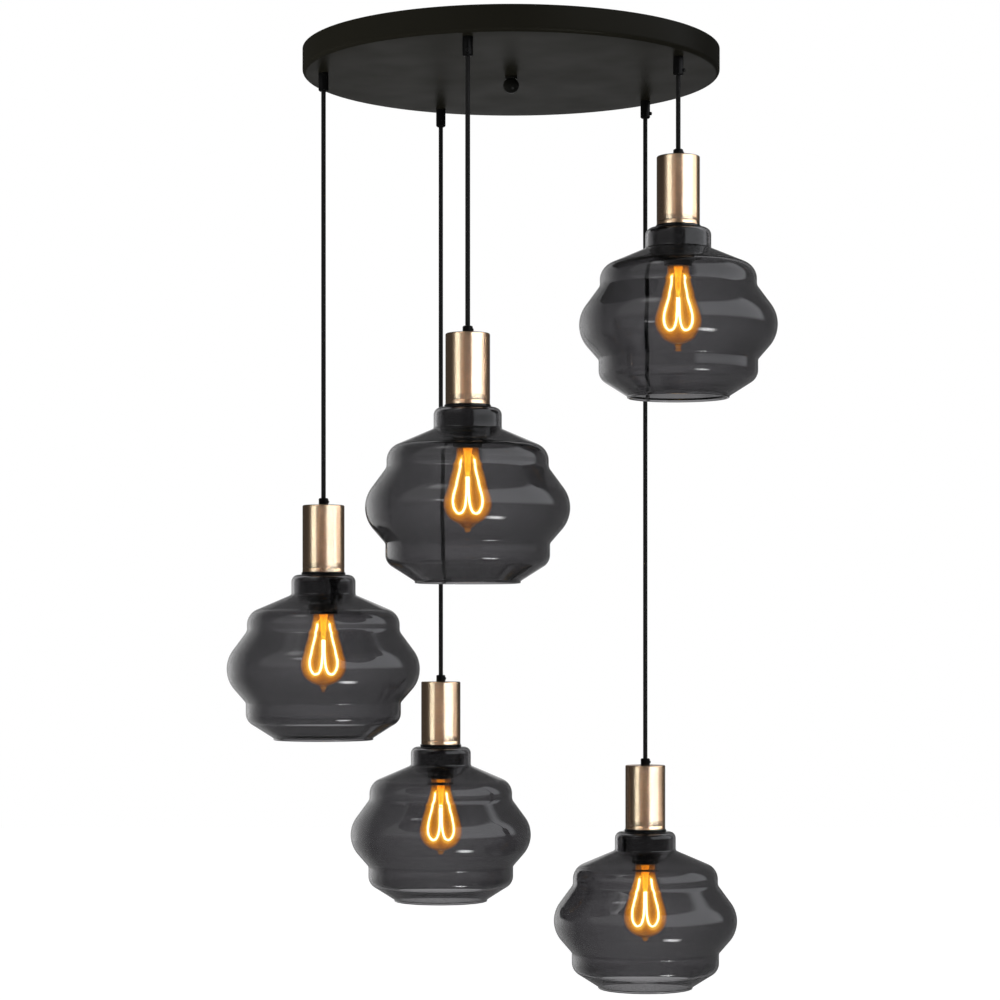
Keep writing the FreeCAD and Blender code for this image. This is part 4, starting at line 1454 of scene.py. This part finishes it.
@dataclass
class Studio:
    """Floor, background, lamps, reflector and camera. Lengths in metres."""

    camera_distance: float = 3.3
    camera_height: float = -0.706
    focal_length: float = 98.86
    sensor: float = 36.0
    shift: tuple[float, float] = (-0.0111, 0.1393)
    floor_height: float = -3.0
    floor_size: float = 60.0
    floor_cells: int = 8
    floor_lift: float = 0.72
    ambient: float = 0.4
    dome_radius: float = 30.0
    dome_base: Colour = (0.05, 0.05, 0.05)
    windows: tuple[SoftWindow, ...] = (
        SoftWindow((-80.0, -20.0), (8.0, 62.0), 0.5, (16.0, 20.0)),
        SoftWindow((22.0, 112.0), (3.0, 46.0), 1.6, (12.0, 8.0), (0.98, 1.0, 1.04)),
        SoftWindow((29.0, 49.0), (-49.0, -41.0), 18.0, (14.0, 5.0)),
        SoftWindow((-60.0, -36.0), (48.0, 62.0), 2.4, (14.0, 10.0)),
        SoftWindow((172.0, 188.0), (-16.0, 16.0), 0.6, (8.0, 10.0)),
    )
    boxes: tuple[LinkedBox, ...] = (
        LinkedBox("left_brass_box", (-66.0, -38.0), 46.0, 1.45, "sleeve_body", (0.84, 1.0, 1.05)),
        LinkedBox("middle_brass_box", (-38.0, 21.0), 46.0, 0.24, "sleeve_body", (1.0, 0.80, 0.68)),
        LinkedBox("right_brass_box", (21.0, 80.0), 46.0, 1.7, "sleeve_body", (0.80, 1.0, 1.16)),
        LinkedBox("edge_brass_box", (80.0, 119.0), 46.0, 0.36, "sleeve_body", (1.0, 0.82, 0.68)),
        LinkedBox("left_glass_box", (-176.0, -100.0), 76.0, 1.15, "shade_body", gridded=True),
    )
    box_distance: float = 14.0
    lamps: tuple[SoftLamp, ...] = (
        SoftLamp("side_lamp", (-3.2, 0.9, -0.7), (0.0, 0.0, -0.6), 1.2, 60.0),
        SoftLamp("low_lamp", (-1.2, -2.6, -2.2), (0.0, 0.0, -0.4), 1.8, 50.0),
    )

    def floor(self) -> None:
        """A pale floor, lifted to white where it is seen as the background."""
        half, count = self.floor_size / 2 / MM, self.floor_cells + 1
        x, y = np.meshgrid(*[np.linspace(-half, half, count)] * 2)
        points = np.stack([x, y, np.full(x.shape, self.floor_height / MM)], axis=-1).reshape(-1, 3)
        recipe = Recipe("pale_floor")
        recipe.set(Base_Color=(0.86, 0.86, 0.86), Roughness=0.8, Specular_IOR_Level=0.1,
                   Emission_Color=WHITE)
        lift = recipe.add("MapRange", To_Max=self.floor_lift)
        recipe.link(recipe.seen("Camera", "Transmission"), lift, "Value")
        recipe.link(lift.outputs["Result"], recipe.shader, "Emission Strength")
        floor = new_piece("studio_floor", Surface(points, grid_faces(count, count, False, False)),
                          recipe.material)
        if floor.data.polygons[0].normal.z < 0:
            floor.data.flip_normals()
        floor.visible_glossy = False

    def background(self) -> None:
        """White for what the camera, metal and glass see, and a plain grey light otherwise."""
        world = bpy.data.worlds.new("studio_world")
        bpy.context.scene.world = world
        world.use_nodes = True
        nodes = Nodes(world.node_tree)
        nodes.tree.nodes.clear()
        mix, output = nodes.add("MixShader"), nodes.add("OutputWorld")
        nodes.link(nodes.seen("Camera", "Glossy", "Transmission"), mix, "Fac")
        for place, strength in ((1, self.ambient), (2, 1.0)):
            light = nodes.add("Background", Color=(*WHITE, 1.0), Strength=strength)
            nodes.link(light.outputs["Background"], mix, place)
        nodes.link(mix.outputs["Shader"], output, "Surface")

    def reflector(self) -> None:
        """A great dome that only reflections see, with soft windows of light on dim grey.

        Point (e, a) lies at radius * (cos e sin a, -cos e cos a, sin e), and its colour is the
        base, replaced by each window's colour in turn by the share that the window covers.
        """
        elevation = np.linspace(-90.0, 90.0, 121)[:, None]
        azimuth = np.linspace(-180.0, 180.0, 360, endpoint=False)[None]
        e, a = np.radians(elevation), np.radians(azimuth)
        shape = (elevation.size, azimuth.size)
        points = np.stack([np.cos(e) * np.sin(a), -np.cos(e) * np.cos(a),
                           np.broadcast_to(np.sin(e), shape)], axis=-1).reshape(-1, 3)
        colour = np.broadcast_to(np.array(self.dome_base), (*shape, 3))
        for window in self.windows:
            share = window.share(azimuth, elevation)[..., None]
            colour = colour * (1 - share) + share * window.level * np.array(window.colour)
        mesh = bpy.data.meshes.new("reflector")
        mesh.from_pydata((points * self.dome_radius).tolist(), [],
                         grid_faces(*shape, False, True).tolist())
        layer = mesh.attributes.new("light", "FLOAT_COLOR", "POINT")
        rgba = np.concatenate([colour.reshape(-1, 3), np.ones((colour.size // 3, 1))], axis=1)
        layer.data.foreach_set("color", rgba.astype(np.float32).ravel())
        recipe = Recipe("reflector_light")
        lamp = recipe.add("Emission")
        source = recipe.add("Attribute", attribute_name="light")
        recipe.link(source.outputs["Color"], lamp, "Color")
        recipe.link(lamp.outputs["Emission"], recipe.tree.nodes["Material Output"], "Surface")
        recipe.material.cycles.emission_sampling = "NONE"
        mesh.materials.append(recipe.material)
        dome = add_object("studio_reflector", mesh, (
            "camera", "diffuse", "transmission", "volume_scatter", "shadow"))

    def soft_lamp(self, lamp: SoftLamp) -> None:
        """Adds a square soft lamp that lights surfaces but isn't seen in reflections.

        Args:
            lamp: its place and its light.
        """
        data = bpy.data.lights.new(lamp.name, "AREA")
        data.size = lamp.size
        data.energy = lamp.power
        light = add_object(lamp.name, data, ("glossy", "camera", "transmission"))
        way = np.array(lamp.place) - np.array(lamp.aim)
        light.location = lamp.place
        light.rotation_euler = (math.acos(way[2] / np.linalg.norm(way)), 0.0,
                                math.atan2(way[0], -way[1]))

    def soft_box(self, box: LinkedBox) -> None:
        """Adds an upright soft box that stands round the lamps.

        A box that spans the azimuths a to b stands at the middle one, is 2 d tan((b - a) / 2)
        wide, and gives power = level * pi * its area. A grid that closes at an angle g makes
        the middle tan g / (tan g - g) times as bright, and the power is divided by that.

        Args:
            box: its place, its light and the kind of piece that shows it.
        """
        shown = bpy.data.collections.new(box.name + "_pieces")
        for number in PENDANT_NUMBERS:
            shown.objects.link(bpy.data.objects[f"{box.piece}_{number}"])
        middle, half = (math.radians(sum(box.azimuth) / 2),
                        math.radians((box.azimuth[1] - box.azimuth[0]) / 2))
        data = bpy.data.lights.new(box.name, "AREA")
        data.shape = "RECTANGLE"
        data.size = 2 * self.box_distance * math.tan(half)
        data.size_y = 2 * self.box_distance * math.tan(math.radians(box.rise / 2))
        data.energy = box.level * math.pi * data.size * data.size_y
        data.color = box.colour
        data.cycles.use_multiple_importance_sampling = box.gridded
        if box.gridded:
            data.spread = 2 * half
            data.energy *= (math.tan(half) - half) / math.tan(half)
        light = add_object(box.name, data, ("camera",))
        light.location = (self.box_distance * math.sin(middle),
                          -self.box_distance * math.cos(middle), self.camera_height)
        light.rotation_euler = (math.pi / 2, 0.0, middle)
        light.light_linking.receiver_collection = shown
        light.light_linking.blocker_collection = shown

    def camera(self) -> None:
        """A level camera in front, framed as the photograph is."""
        data = bpy.data.cameras.new("photo_camera")
        data.lens = self.focal_length
        data.sensor_width = self.sensor
        data.shift_x, data.shift_y = self.shift
        camera = add_object("photo_camera", data)
        camera.location = (0.0, -self.camera_distance, self.camera_height)
        camera.rotation_euler = (math.pi / 2, 0.0, 0.0)
        bpy.context.scene.camera = camera

    def build(self) -> None:
        """Sets up the studio round the lamps, which have to be there."""
        self.floor()
        self.background()
        self.reflector()
        for lamp in self.lamps:
            self.soft_lamp(lamp)
        for box in self.boxes:
            self.soft_box(box)
        self.camera()
        bpy.context.scene.view_settings.view_transform = "Standard"


def main() -> None:
    """Builds the canopy, the cords, the lamps and the studio."""
    logging.basicConfig(level=logging.INFO, format="%(name)s: %(message)s")
    dressing = finishes()
    Canopy(dressing).build()
    for number in PENDANT_NUMBERS:
        HungCord(dressing, number).build()
        Lamp(dressing, number).build()
    Studio().build()


if __name__ == "__main__":
    main()
